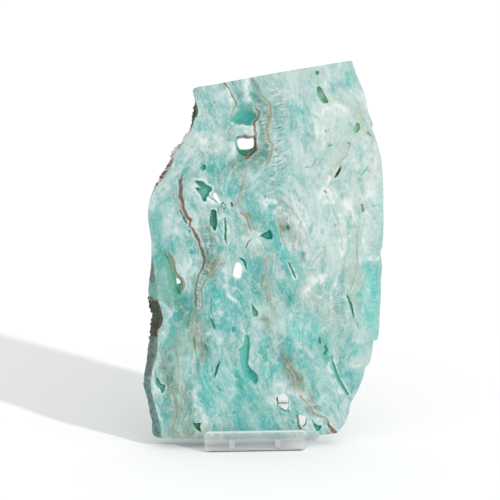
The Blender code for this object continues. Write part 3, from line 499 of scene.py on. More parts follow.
# Veins: tint from olive (0) over tan to rust brown (1), strength, half width in pixels, and the line
VEINS = [
    (0.85, 1.0, 0.95, (225.5, 82.1), (229.1, 87.5), (232.2, 95.5), (235.8, 100), (237.1, 104.5)),
    (0.6, 0.8, 0.7, (237.1, 104.5), (234, 109.8), (231.8, 115.2)),
    (0.7, 0.8, 0.6, (230.9, 125.9), (229.1, 130.4), (230.9, 134.8)),
    (0.9, 1.0, 0.9, (256.8, 108), (259.9, 112.5), (258.6, 117.9), (255.4, 122.3), (255.4, 127.7),
     (256.3, 134.8), (255.4, 143.8), (256.3, 149)),
    (0.9, 1.0, 1.6, (256.3, 149), (251.4, 154), (247, 157.1)),
    (0.8, 1.0, 1.0, (244.4, 134.0), (248, 136.2), (252, 137.2), (256, 135.6)),
    (0.3, 0.9, 1.0, (261.6, 96), (267, 100.4), (271.4, 105.4), (271.4, 114.3), (269.2, 121.4),
     (268.3, 130.4), (270.1, 138.4), (273.7, 144.6), (272.3, 152.7), (269.2, 160.7), (266.1, 165.2)),
    (0.4, 0.4, 0.6, (271.9, 84.8), (278.6, 96.4), (283, 105.4), (283, 115.2)),
    (0.3, 0.4, 0.6, (278.6, 152.7), (277.7, 173.2)), (0.9, 1.0, 0.8, (183.6, 174.1), (181.5, 179.5)),
    (1.0, 1.0, 1.9, (181.4, 179.5), (180.9, 190), (180.4, 196)),
    (1.0, 1.0, 1.7, (180.4, 196), (182.7, 203.4), (184.9, 209.6), (188.9, 215.9), (191.6, 219)),
    (1.0, 1.0, 1.2, (191.6, 219), (189.8, 225.7)),
    (1.0, 1.0, 1.25, (191, 227), (194.3, 232.9), (198.8, 240), (200.5, 245.4), (201.9, 252.5),
     (204.1, 260.5), (201.4, 267.7)),
    (0.9, 1.0, 0.9, (201.4, 267.7), (197.9, 274.8), (195.6, 283.8), (194.7, 295.4), (194.7, 307)),
    (0.35, 0.6, 0.6, (194, 309), (192, 316), (191.4, 326), (190.4, 332)),
    (0.85, 0.6, 0.6, (179.1, 203.4), (183.6, 209.6)),
    (0.25, 0.7, 0.8, (221, 264), (214.8, 270.4), (207.7, 277.5)),
    (0.6, 1.0, 0.7, (207.7, 277.5), (204.1, 282), (201.9, 289.1), (201.4, 297.1), (201.2, 308)),
    (0.3, 0.5, 0.6, (201, 310), (200, 318), (199.4, 328)),
    (0.7, 1.0, 0.7, (168.6, 250.7), (172.6, 259.5), (175.8, 270.6), (181.8, 277.0), (182.8, 283),
     (181.4, 289)), (0.5, 0.9, 0.7, (240.7, 211.4), (245.2, 215.9), (247.9, 221.3), (250.5, 230.2)),
    (0.3, 0.7, 0.6, (245.2, 173.2), (242.5, 182.1), (240.7, 190), (238.5, 198)),
    (0.6, 0.6, 0.6, (350.9, 142.9), (347.3, 152.7), (342.9, 161.6), (340.2, 166.4)),
    (0.75, 0.6, 0.6, (339.6, 167.4), (336.6, 173), (334.4, 177.7)),
    (0.9, 0.9, 0.9, (348.6, 141.8), (350.8, 143.6)), (0.9, 0.8, 1.0, (324.5, 191.4), (327, 193)),
    (0.8, 0.6, 0.4, (328, 189), (330.5, 184)),
    (0.4, 0.5, 0.9, (284, 202), (292, 208.8), (297.3, 216.8), (302.7, 224.8), (306.3, 232.9),
     (307.1, 240.9), (308.9, 247.1)),
    (0.2, 0.8, 0.7, (279.5, 223), (280.4, 231.1), (282.1, 238.2), (285.7, 243.6)),
    (0.45, 0.5, 0.5, (293.8, 232.9), (295.5, 240), (294.6, 248), (294.6, 257.9)),
    (0.8, 0.8, 0.8, (287.2, 217.2), (287.2, 219.6)),
    (0.35, 0.6, 0.6, (325, 249.8), (318.8, 254.3), (314.3, 260.5), (310.7, 267.7)),
    (0.3, 0.45, 0.6, (266.1, 254.3), (265.2, 279.3), (266.1, 290.9)),
    (0.8, 0.7, 0.5, (266.1, 293), (266.6, 302)),
    (0.7, 0.85, 0.7, (283.9, 368.4), (289.3, 372.9), (292.4, 379.1), (293.8, 388)),
    (0.35, 0.9, 0.7, (300, 397.9), (305.4, 403.2), (310.7, 409.5), (313.4, 415.7)),
    (0.7, 0.9, 0.8, (312.6, 414.4), (318.8, 417.9), (325, 420.2), (327.7, 425.5)),
    (1.0, 1.0, 1.6, (327.7, 425.5), (331, 430), (333.8, 434.4)), (1.0, 1.0, 2.0, (331, 431.4), (334, 434)),
    (0.2, 0.6, 0.6, (175.5, 347), (176, 355.9), (177.3, 365.7), (177.8, 378.2)),
    (0.55, 0.8, 0.6, (178.6, 384), (180, 390.7), (182.7, 400.5)),
    (0.15, 0.6, 0.6, (182.7, 400.5), (185.4, 408.6), (181, 422), (183.6, 435.4)),
    (0.15, 0.7, 0.9, (170.2, 391.6), (173.8, 400.5), (174.6, 408.6), (172.9, 418.4), (170.2, 427.3)),
    (0.6, 0.7, 0.6, (174.6, 430), (180, 437.1)),
    (0.3, 0.5, 0.7, (196, 330), (197, 345.2), (200.4, 350.5), (200, 362)),
    (0.8, 0.5, 0.8, (167.5, 346), (167.8, 348)), (0.8, 0.5, 0.8, (168.3, 357), (168.6, 359)),
    (0.9, 0.8, 0.9, (291.6, 422.6), (292, 423.6)), (0.8, 0.6, 0.8, (293.5, 434.6), (293.9, 435.6)),
    (0.8, 0.7, 0.8, (299.8, 397.2), (300.4, 398)), (0.6, 0.6, 0.8, (229.4, 168.6), (229.4, 171)),
    (0.6, 0.5, 0.9, (181, 203.6), (178, 206)), (0.5, 0.5, 1.0, (173.6, 193), (174.2, 197)),
    (0.1, 0.7, 0.7, (199, 154.3), (199.4, 154.8)), (0.1, 0.7, 0.7, (191.4, 147), (191.8, 147.4)),
    (0.1, 0.7, 0.7, (208.5, 152.4), (208.8, 152.8)), (0.1, 0.7, 0.7, (209, 146.4), (209.3, 146.8)),
]

# Fine green lines and dots: tint from leaf green (0) over dark green (0.35) and teal (0.7) to turquoise
# (1), strength, half width in pixels, and the line
GREEN_LINES = [
    (0, 0.7, 0.5, (317.5, 159.4), (315, 163), (311.6, 166.6), (305.4, 168.5)),
    (0, 0.8, 0.6, (328.8, 145.7), (332.6, 144.2)), (0.1, 0.9, 1.1, (362.4, 205), (364.3, 211.4)),
    (0.2, 0.75, 0.6, (357, 250), (357.4, 260)), (0, 0.7, 0.6, (357, 324), (358.6, 329)),
    (0, 0.3, 0.6, (359, 228), (358, 244), (357, 262), (355, 276), (351.5, 288)),
    (0, 0.3, 0.6, (327, 196), (333, 208), (338, 222), (341, 236), (343, 250)),
    (0, 0.8, 0.8, (368.4, 133.4), (371.6, 135.6)),
    (0.3, 0.9, 0.6, (250.5, 239.6), (247.6, 243), (246.1, 247.1)),
    (0.5, 0.7, 0.6, (210.2, 299), (210.6, 311)), (0.4, 0.8, 1.2, (319, 339), (320.4, 344)),
    (0.4, 0.8, 1.0, (323.4, 355), (326.4, 351.6), (325.4, 347)),
    (0.6, 0.8, 0.6, (215.3, 384.5), (218.4, 389.4)), (0.6, 0.95, 1.2, (231.8, 412.8), (232, 413.4)),
    (0.6, 0.8, 0.9, (218, 413.8), (218.2, 414.4)), (0.6, 0.95, 1.1, (190.7, 251.2), (190.8, 252)),
    (0.35, 0.95, 1.1, (231.6, 202.4), (233.2, 205)), (0.75, 0.9, 1.9, (232, 327.6), (232, 330.4)),
    (0.2, 0.8, 0.8, (215.3, 101), (215.5, 101.8)), (0.6, 0.7, 0.8, (326.5, 131), (326.7, 132.4)),
    (0.6, 0.6, 1.0, (267.4, 202.4), (267.6, 203.4)),
    (0.2, 0.8, 0.5, (210, 195.4), (213.5, 198.6), (217, 202)), (0.6, 0.8, 1.0, (265.2, 196), (265.8, 197)),
    (0.35, 0.8, 0.5, (221, 203), (221.4, 207), (224.4, 208.4), (225.4, 205), (223, 202), (221, 203)),
    (0.35, 0.8, 0.9, (188, 229.6), (188.2, 230.4)), (0.6, 0.7, 0.8, (331.6, 357), (332.6, 364)),
    (0.6, 0.5, 0.6, (346.6, 395), (350, 401)), (0.2, 0.7, 0.8, (192.4, 337), (193.6, 350)),
    (0.2, 0.5, 0.6, (324.4, 246.6), (324.8, 247.4)), (0.7, 0.5, 0.9, (303, 111.6), (303.4, 113)),
    (0.7, 0.4, 0.6, (314, 115), (316.4, 119)), (0.6, 0.4, 0.8, (302.6, 254), (304.4, 262)),
    (0.5, 0.85, 1.0, (276, 403.6), (279.5, 408), (284, 411), (288, 410.6)),
    (0.3, 0.85, 1.0, (296.8, 416.5), (296.4, 421), (297.6, 427), (299.6, 430.6)),
    (1, 0.7, 2.4, (358.6, 294.6), (360.4, 295.4)),
    (1, 0.5, 0.7, (363, 304), (366, 308), (366.4, 314), (363.4, 317)),
    (1, 0.5, 0.7, (363.4, 317), (361, 313), (361, 307), (363, 304)),
    (0.8, 0.7, 1.5, (288.4, 297.4), (289, 300)), (0.8, 0.5, 1.3, (233, 307), (234, 309.6)),
    (0.4, 0.85, 1.7, (287.4, 226.6), (288.6, 229)), (0.15, 0.6, 1.5, (281.6, 226), (284, 230)),
    (0.3, 0.5, 0.5, (317.8, 116.4), (319.6, 119.4)), (0.5, 0.7, 0.6, (216.4, 366.4), (213.6, 367.6)),
    (0.5, 0.6, 0.5, (217, 206), (219, 212)), (0.75, 0.6, 0.7, (239.2, 256.4), (240.6, 259.4)),
    (0.3, 0.8, 0.7, (204.4, 343), (206, 350)), (0.6, 0.6, 0.5, (206, 260), (206.4, 268)),
]

# Half width in pixels from which a line's distance no longer tells its two sides apart
SMOOTH_ENDED_HALF_WIDTH = 0.95

# Bundles of fibres that cross the layers: strength, half width in pixels, and the bundle's line
FIBRES = [
    (0.9, 8, (275, 92), (281, 110), (279, 130), (279, 150), (277, 175)),
    (1.0, 5, (264, 108), (266, 130), (268, 150)), (0.4, 6, (236, 166), (248, 160), (258, 156)),
    (1.0, 3.2, (200, 276), (198.6, 284), (198, 296), (198, 308)), (0.7, 5, (205, 262), (210, 272)),
    (0.35, 7, (376, 200), (377, 250), (373, 300), (370, 330)),
    (0.4, 5, (292, 186), (300, 204), (303, 225), (302, 246)), (0.7, 5, (243, 178), (240, 192)),
    (0.4, 6, (205, 228), (209, 246), (209, 258)), (0.6, 8, (340, 300), (330, 320)),
    (0.6, 6, (204, 150), (210, 138)),
]

# Smooth places without mottling: strength, half width in pixels, and the place's line
CALM = [
    (0.9, 8, (238, 166), (250, 161), (261, 157)), (0.5, 24, (172, 345), (180, 385), (186, 425)),
    (0.45, 20, (212, 395), (240, 425)), (0.5, 6, (206, 262), (213, 271)), (0.9, 7, (184, 298), (185, 322)),
    (0.9, 6, (236, 374), (239, 386)), (0.8, 5, (355, 68), (372, 110)),
    (0.8, 6, (381, 180), (384, 240), (382, 300), (378, 336), (366, 372), (350, 410)),
    (0.6, 8, (156, 210), (160, 240)), (0.85, 8, (158, 264), (163, 290)), (0.5, 6, (160, 300), (163, 330)),
]

# Light that the lit stone gives back as a share of its own colour, on its face and inside its vugs, and
# the shine that its polish and its crusts add
LIT_BRIGHTNESS = 1.22
VUG_BRIGHTNESS = 0.93
SHINE = 0.031
CRUST_SHINE = 0.01

# Palette, as the colours are seen in the photograph's light
PALE = (0.79, 0.863, 0.853)
AQUA = (0.26, 0.675, 0.668)
# Bright turquoise, also used as painted glow of the lamp's light along the right edge
BRIGHT_TURQUOISE_AND_EDGE_GLOW = (0.22, 0.81, 0.785)
TEAL = (0.13, 0.60, 0.53)
DEEP = (0.35, 0.55, 0.50)
OLIVE = (0.50, 0.52, 0.42)
SAGE = (0.66, 0.745, 0.67)
WHITE = (0.93, 0.955, 0.945)
GREEN_TINTS = (
    (0.0, (0.36, 0.6, 0.42)), (0.35, (0.13, 0.37, 0.28)), (0.7, (0.14, 0.58, 0.52)),
    (1.0, (0.3, 0.77, 0.74)),
)
VEIN_TINTS = (
    (0.0, (0.55, 0.56, 0.42)), (0.35, (0.69, 0.62, 0.49)), (0.7, (0.67, 0.52, 0.4)),
    (1.0, (0.5, 0.32, 0.2)),
)
VUG_TONES = (
    (0.0, (0.22, 0.15, 0.12)), (0.12, (0.16, 0.38, 0.3)), (0.24, (0.26, 0.52, 0.42)),
    (0.3, (0.38, 0.6, 0.52)), (0.36, (0.02, 0.5, 0.46)), (0.5, (0.34, 0.65, 0.61)),
    (0.65, (0.44, 0.645, 0.57)), (0.8, (0.47, 0.69, 0.58)), (1.0, (0.6, 0.74, 0.56)),
)
# dark: partly the side's own dark green, partly painted shade where the rough side is turned from the lamp
CRUSTS = {
    "green": (0.46, 0.56, 0.52), "teal": (0.48, 0.64, 0.62), "tan": (1.0, 0.985, 0.93),
    "dark": (0.28, 0.38, 0.31), "rust": (0.42, 0.26, 0.17),
}

# Stretches of the rough side, by the photograph's rows: first and last row, strength and pigment, the dark
# one partly painted shade
CRUST_STRETCHES = [
    (99, 126, 1.0, "dark"), (127, 193, 1.0, "tan"), (145, 147, 0.5, "rust"), (153, 155, 0.5, "rust"),
    (159, 161.5, 0.7, "rust"), (163, 168, 0.9, "rust"), (169.5, 174.5, 0.9, "rust"),
    (175.5, 179, 0.9, "rust"), (181.5, 185, 0.8, "rust"), (215, 281, 0.9, "green"), (298, 336, 1.0, "dark"),
    (336, 376, 1.0, "green"), (376, 440, 1.0, "teal"),
]

# Rows between which the rough side has a rust brown rim and patches
RUSTY_ROWS = (296, 336)

# Distance between the stone's growth lines, and between their broader swells, in pixels
GROWTH_SPACING = 3.6
BROAD_GROWTH_SPACING = 4.6

# The noise grid: its seed, and its cells and edges in pixels
GRID_SEED = 7
GRID_CELL = 0.75
GRID_LEFT, GRID_TOP, GRID_RIGHT, GRID_BOTTOM = 134, 52, 394, 448

# Reach of the table from its middle and width of the stand's eased edges, in metres
TABLE_REACH = 8
EASED_EDGE = 0.00025

# The camera: distance in metres, direction, roll, and the pixel it looks at
CAMERA_DISTANCE = 0.9
CAMERA_ELEVATION = math.radians(13.5)
CAMERA_TO_LEFT = math.radians(4.5)
CAMERA_ROLL = math.radians(0.5)
IMAGE_SIZE = 500
AIM_PIXEL = (249.6, 249.6)
SENSOR = 36.0

# The lamp and the white room
LAMP_TO_RIGHT = math.radians(50)
LAMP_ELEVATION = math.radians(27)
LAMP_STRENGTH = 1.75
LAMP_SPREAD = math.radians(2.5)
LAMP_COLOUR = (1.0, 0.995, 0.985)
ROOM_COLOUR = (0.99, 1.0, 1.0, 1)
ROOM_STRENGTH = 0.88


def linear(colour, brightness=LIT_BRIGHTNESS, shine=SHINE):
    """The stone's own colour where it is seen as this one under the lamp and the bright room."""
    seen = [c / 12.92 if c <= 0.04045 else ((c + 0.055) / 1.055) ** 2.4 for c in colour]
    return tuple(min(max(c - shine, 0.5 * c) / brightness, 0.95) for c in seen) + (1,)


def smoothstep(low, high, values):
    t = np.clip((values - low) / (high - low), 0, 1)
    return t * t * (3 - 2 * t)


def resampled(corners, spacing, closed):
    """A smooth curve through the corners, as points about the given distance apart."""
    corners = np.asarray(corners, float)
    count = len(corners)
    points = []
    for index in range(count if closed else count - 1):
        if closed:
            p0, p1, p2, p3 = (corners[(index + k) % count] for k in (-1, 0, 1, 2))
        else:
            p0, p1, p2, p3 = (corners[min(max(index + k, 0), count - 1)] for k in (-1, 0, 1, 2))
        length = math.hypot(*(p2 - p1)[:2])
        steps = max(1, round(length / spacing))
        t = (np.arange(steps) / steps)[:, None]
        curve = 0.5 * (
            2 * p1 + (p2 - p0) * t + (2 * p0 - 5 * p1 + 4 * p2 - p3) * t ** 2
            + (3 * p1 - p0 - 3 * p2 + p3) * t ** 3
        )
        straight = p1 + (p2 - p1) * t
        points.append(curve * 0.75 + straight * 0.25)
    if not closed:
        points.append(corners[-1:])
    return np.concatenate(points)


def distance_to(points, line):
    """Distance in pixels from each point to a bent line."""
    line = np.asarray(line, float)
    best = np.full(len(points), 1e9)
    for start, end in zip(line[:-1], line[1:]):
        along = end - start
        t = np.clip(((points - start) @ along) / max(along @ along, 1e-9), 0, 1)
        offset = points - start - t[:, None] * along
        best = np.minimum(best, np.hypot(offset[:, 0], offset[:, 1]))
    return best


def signed_gap(points, line):
    """Distance in pixels to a bent line, below 0 on one side, and how far each point is past its ends."""
    best = np.full(len(points), 1e9)
    sign, past = np.ones(len(points)), np.zeros(len(points))
    last = len(line) - 2
    for index, (start, end) in enumerate(zip(line[:-1], line[1:])):
        along = end - start
        length = max(math.hypot(*along), 1e-6)
        t = ((points - start) @ along) / length ** 2
        offset = points - start - np.clip(t, 0, 1)[:, None] * along
        gap = np.hypot(offset[:, 0], offset[:, 1])
        beside = points - start
        side = np.where(along[0] * beside[:, 1] < along[1] * beside[:, 0], -1.0, 1.0)
        over = np.maximum(-t if index == 0 else 0, t - 1 if index == last else 0) * length
        closer = gap < best
        best = np.where(closer, gap, best)
        sign = np.where(closer, side, sign)
        past = np.where(closer, np.maximum(over, 0), past)
    return best * sign, past


def stroke(points, line, width, falloff=1.0):
    """How strongly a soft brush of the given half width covers each point, from 0 to 1."""
    line = np.asarray(line, float)
    reach = width * STROKE_REACH
    low, high = line.min(0) - reach, line.max(0) + reach
    near = np.all((points > low) & (points < high), axis=1)
    value = np.zeros(len(points))
    if near.any():
        value[near] = np.exp(-falloff * (distance_to(points[near], line) / width) ** 2)
    return value


def inside(points, outline):
    """Whether each point lies inside a closed outline."""
    result = np.zeros(len(points), bool)
    low, high = outline.min(0), outline.max(0)
    near = np.flatnonzero(np.all((points >= low) & (points <= high), axis=1))
    x, y = points[near, 0], points[near, 1]
    odd = np.zeros(len(near), bool)
    for a, b in zip(outline, np.roll(outline, -1, axis=0)):
        crosses = (a[1] > y) != (b[1] > y)
        slope = (b[0] - a[0]) / (b[1] - a[1]) if b[1] != a[1] else 0
        odd ^= crosses & (x < (y - a[1]) * slope + a[0])
    result[near] = odd
    return result


class Grid:
    """A fine grid over the slab, in pixels, that holds noise drawn out along the stone's layers."""

    def __init__(self):
        self.random = np.random.default_rng(GRID_SEED)
        self.width = int((GRID_RIGHT - GRID_LEFT) / GRID_CELL)
        self.height = int((GRID_BOTTOM - GRID_TOP) / GRID_CELL)
        rows, columns = np.mgrid[0:self.height, 0:self.width]
        self.points = np.stack([
            GRID_LEFT + columns.ravel() * GRID_CELL, GRID_TOP + rows.ravel() * GRID_CELL
        ], axis=1)
        self.layer_gap = self.gap_to_layers()
        self.direction = self.layer_direction()

    def cell_of(self, points):
        x = np.clip((points[:, 0] - GRID_LEFT) / GRID_CELL, 0, self.width - 1.001)
        y = np.clip((points[:, 1] - GRID_TOP) / GRID_CELL, 0, self.height - 1.001)
        return x, y, x.astype(int), y.astype(int)

    def sample(self, values, points):
        """Bilinear reading of a field at points given in pixels."""
        x, y, column, row = self.cell_of(points)
        fx, fy = x - column, y - row
        if values.ndim == 3:
            fx, fy = fx[:, None], fy[:, None]
        top = values[row, column] * (1 - fx) + values[row, column + 1] * fx
        bottom = values[row + 1, column] * (1 - fx) + values[row + 1, column + 1] * fx
        return top * (1 - fy) + bottom * fy

    def cloud(self, size):
        """Smooth noise whose lumps are about size pixels across, with a spread of about 1."""
        rows = int(self.height * GRID_CELL / size) + 4
        columns = int(self.width * GRID_CELL / size) + 4
        knots = self.random.uniform(-1, 1, (rows, columns))
        y = (np.arange(self.height) * GRID_CELL / size)[:, None] + 1
        x = (np.arange(self.width) * GRID_CELL / size)[None, :] + 1
        row, column = y.astype(int), x.astype(int)
        fy, fx = y - row, x - column

        def weights(f):
            return (
                (1 - f) ** 3 / 6, (3 * f ** 3 - 6 * f ** 2 + 4) / 6,
                (-3 * f ** 3 + 3 * f ** 2 + 3 * f + 1) / 6, f ** 3 / 6,
            )
        total = np.zeros((self.height, self.width))
        for i, wy in enumerate(weights(fy)):
            for j, wx in enumerate(weights(fx)):
                total += knots[row + i - 1, column + j - 1] * wy * wx
        return total / total.std()

    def wander(self, *lumps):
        """A random shift in x and y at every cell, from lumps given by their size and reach in pixels."""
        return np.stack([
            sum(self.cloud(size) * reach for size, reach in lumps) for _ in range(2)
        ], axis=-1)

    def layer_direction(self):
        """Unit directions of the layers on the grid, blended from the nearest layer curves."""
        coarse = 6
        rows = np.arange(0, self.height + coarse, coarse)
        columns = np.arange(0, self.width + coarse, coarse)
        places = np.stack(np.meshgrid(GRID_LEFT + columns * GRID_CELL, GRID_TOP + rows * GRID_CELL), -1)
        flat = places.reshape(-1, 2)
        # Angles are doubled while they are blended, because a layer has no head or tail
        doubled = np.zeros((len(flat), 2))
        for layer in LAYERS:
            curve = resampled(layer, 6, closed=False)
            steps = np.diff(curve, axis=0)
            middles = (curve[1:] + curve[:-1]) / 2
            angle = 2 * np.arctan2(steps[:, 1], steps[:, 0])
            gap = ((flat[:, None, :] - middles[None]) ** 2).sum(-1)
            weight = 1 / (gap + 9) ** 1.6
            doubled[:, 0] += weight @ np.cos(angle)
            doubled[:, 1] += weight @ np.sin(angle)
        doubled /= np.linalg.norm(doubled, axis=1, keepdims=True)
        doubled = doubled.reshape(len(rows), len(columns), 2)
        y = np.arange(self.height)[:, None] / coarse
        x = np.arange(self.width)[None, :] / coarse
        row, column = y.astype(int), x.astype(int)
        fy, fx = (y - row)[..., None], (x - column)[..., None]
        fine = (
            (doubled[row, column] * (1 - fx) + doubled[row, column + 1] * fx) * (1 - fy)
            + (doubled[row + 1, column] * (1 - fx) + doubled[row + 1, column + 1] * fx) * fy
        )
        angle = np.arctan2(fine[..., 1], fine[..., 0]) / 2
        angle = angle + self.cloud(22) * 0.16 + self.cloud(9) * 0.16 + self.cloud(5) * 0.10
        return np.stack([np.cos(angle), np.sin(angle)], axis=-1)

    def flow(self):
        """Two coordinates in pixels: one grows across the layers, the other along them."""
        downward = self.direction * np.sign(self.direction[..., 1:] + 1e-9)
        x, y = downward[..., 0], downward[..., 1]
        return np.stack([self.unrolled(y, -x), self.unrolled(x, y)], axis=-1)

    def unrolled(self, slope_x, slope_y):
        """The field whose slopes come nearest to the ones given."""
        slope_x = np.concatenate([slope_x, -slope_x[:, ::-1]], axis=1)
        slope_x = np.concatenate([slope_x, slope_x[::-1]], axis=0)
        slope_y = np.concatenate([slope_y, slope_y[:, ::-1]], axis=1)
        slope_y = np.concatenate([slope_y, -slope_y[::-1]], axis=0)
        wave_y = np.fft.fftfreq(slope_x.shape[0], GRID_CELL / 6.2832)[:, None]
        wave_x = np.fft.fftfreq(slope_x.shape[1], GRID_CELL / 6.2832)[None, :]
        square = wave_x ** 2 + wave_y ** 2
        square[0, 0] = 1
        mixed = (wave_x * np.fft.fft2(slope_x) + wave_y * np.fft.fft2(slope_y)) / square
        return np.fft.ifft2(-1j * mixed).real[:self.height, :self.width]

    def gap_to_layers(self):
        """Distance in pixels from each grid cell to the nearest layer curve."""
        gap = np.full(len(self.points), 99.0)
        for layer in LAYERS:
            curve = resampled(layer, 4, closed=False)
            low, high = curve.min(0) - 22, curve.max(0) + 22
            near = np.flatnonzero(np.all((self.points > low) & (self.points < high), axis=1))
            gap[near] = np.minimum(gap[near], distance_to(self.points[near], curve))
        return gap.reshape(self.height, self.width)

    def drawn_out(self, sources, reaches, across=False):
        """Noises drawn out along the layers, or across them, each over its own reach in pixels."""
        stack = np.stack(sources, axis=-1)
        total = stack.copy()
        flat = total.reshape(-1, len(sources))
        for sign in (1, -1):
            places = self.points.copy()
            heading = None
            for index in range(1, int(max(reaches) / GRID_CELL) + 1):
                _, _, column, row = self.cell_of(places)
                turn = self.direction[row, column]
                if across:
                    turn = np.stack([-turn[:, 1], turn[:, 0]], axis=1)
                if heading is None:
                    heading = turn * sign
                else:
                    same = (turn * heading).sum(1, keepdims=True)
                    heading = np.where(same < 0, -turn, turn)
                places += heading * GRID_CELL
                live = [k for k, reach in enumerate(reaches) if reach >= index * GRID_CELL]
                first, last = live[0], live[-1] + 1
                flat[:, first:last] += self.sample(stack[..., first:last], places)
        total -= total.mean((0, 1))
        total /= total.std((0, 1))
        return [total[..., index] for index in range(len(sources))]


class Pattern:
    """The stone's pigments and its painted glow at any point, in pixels, as shares from 0 to 1."""

    def __init__(self):
        grid = Grid()
        self.grid = grid
        patches = grid.cloud(15) + 0.75 * grid.cloud(7.5) + 0.5 * grid.cloud(3.6)
        cells = grid.cloud(6.5) + 0.45 * grid.cloud(3)
        # Longest reach first, so that the ones still being drawn out stay side by side
        broad, ripples, threads, middle, cells, patches, fine = grid.drawn_out(
            [grid.cloud(6), grid.cloud(2.6), grid.cloud(2.2), grid.cloud(3.2), cells, patches,
             grid.cloud(1.4)],
            [34, 26, 20, 18, 15, 14, 2.5],
        )
        crossing = grid.drawn_out([grid.cloud(1.7)], [6], across=True)[0]
        self.fields = {
            "broad": broad, "ripples": ripples, "threads": threads, "middle": middle, "cells": cells,
            "patches": patches, "fine": fine, "crossing": crossing, "worn": grid.cloud(10),
            "specks": grid.cloud(1.7), "lumps": grid.cloud(2.6), "grain": grid.cloud(1.2),
            "layer_gap": grid.layer_gap,
        }
        self.warp = grid.wander((14, 1.8), (5, 1.5), (2.5, 0.6))
        self.flow = grid.flow()
        self.small_warp = grid.wander((5, 0.45), (2.2, 0.28))
        self.drift = grid.wander((50, 6))

    @staticmethod
    def washed(points, pigment):
        """How strongly the washes of one pigment cover each point."""
        total = np.zeros(len(points))
        for strength, width, *line in WASHES[pigment]:
            total = 1 - (1 - total) * (1 - strength * stroke(points, line, width, falloff=1.1))
        return total

    @staticmethod
    def strongest(points, strokes):
        """The strength of the strongest stroke at each point."""
        total = np.zeros(len(points))
        for strength, width, *line in strokes:
            total = np.maximum(total, strength * stroke(points, line, width))
        return total

    @staticmethod
    def nearest(points, lines):
        """The nearest of some lines to each point: signed distance, half width, strength and tint."""
        gap, width = np.full(len(points), 9.0), np.full(len(points), 0.5)
        share, tint = np.zeros(len(points)), np.full(len(points), 0.5)
        for own_tint, strength, half, *line in lines:
            curve = resampled(line, 1.5, closed=False) if len(line) > 2 else np.array(line, float)
            low, high = curve.min(0) - half - 4, curve.max(0) + half + 4
            near = np.flatnonzero(np.all((points > low) & (points < high), axis=1))
            own, past = signed_gap(points[near], curve)
            if half >= SMOOTH_ENDED_HALF_WIDTH:
                own = np.abs(own)
            room = np.abs(own) - half
            closer = room < np.abs(gap[near]) - width[near]
            near, own, room, past = near[closer], own[closer], room[closer], past[closer]
            gap[near], width[near], tint[near] = own, half, own_tint
            ends = smoothstep(half + 1.0, 0.4 * half, past)
            share[near] = strength * smoothstep(3.4, 2.2, room) * ends
        return gap, width, share, tint

    @staticmethod
    def aqua(read, wash):
        swirls = np.cos(6.28 * (0.45 * read.broad + 0.12 * read.middle + 0.05 * read.lumps))
        spread = read.layer_gap + 0.7 * read.middle + 0.8 * read.cells
        growth = np.cos(6.28 * spread / BROAD_GROWTH_SPACING) * read.banded
        mottle = (
            0.10 * read.patches + 0.09 * read.middle + 0.05 * swirls + 0.05 * growth
            + 0.055 * read.threads + 0.06 * read.fine + 0.04 * read.lumps
            + 0.05 * read.specks + 0.05 * read.grain + 0.15 * read.fibres * read.crossing
        )
        aqua = 0.29 + wash * 0.70 + mottle * 1.3 * read.lively
        return 0.45 * aqua + 0.55 * smoothstep(0.0, 1.0, aqua)

    @staticmethod
    def sage(read, wash):
        sage = 0.08 + wash * 0.8
        sage *= 0.9 + 0.22 * read.threads - 0.18 * read.broad + 0.18 * read.lumps
        return sage + 0.20 * smoothstep(1.2, 2.4, read.ripples) * read.lively

    @staticmethod
    def deep(read, wash):
        deep = wash * (
            0.85 + 0.2 * read.fine + 0.35 * read.fibres * read.crossing + 0.15 * read.lumps
        )
        deep += read.lively * (
            0.24 * smoothstep(1.1, 2.4, -read.threads) + 0.22 * smoothstep(1.1, 2.4, -read.lumps)
            + 0.18 * smoothstep(1.3, 2.6, -read.ripples)
        )
        return deep + 0.40 * read.fibres * smoothstep(0.5, 1.8, -read.crossing)

    @staticmethod
    def white(read, wash):
        web = np.exp(-(read.cells / 0.26) ** 2) * smoothstep(-0.4, 1.2, read.worn)
        threads = smoothstep(1.0, 2.4, read.threads)
        frost = smoothstep(0.9, 2.4, read.specks + 0.5 * read.grain)
        white = wash * (0.80 + 0.22 * read.lumps + 0.18 * read.threads)
        white += (0.26 * web + 0.16 * threads + 0.22 * frost) * read.lively
        return white + 0.2 * read.fibres * smoothstep(0.4, 1.6, read.crossing)

    def read_fields(self, points):
        """Every noise field at points given in pixels, with what follows from them."""
        sampled = self.grid.sample(np.stack(list(self.fields.values()), axis=-1), points)
        read = SimpleNamespace(**{name: sampled[:, index] for index, name in enumerate(self.fields)})
        read.fibres = self.strongest(points, FIBRES)
        read.lively = 1 - 0.75 * self.strongest(points, CALM)
        read.banded = smoothstep(15, 2, read.layer_gap) * smoothstep(-1.2, 1.0, read.worn)
        return read

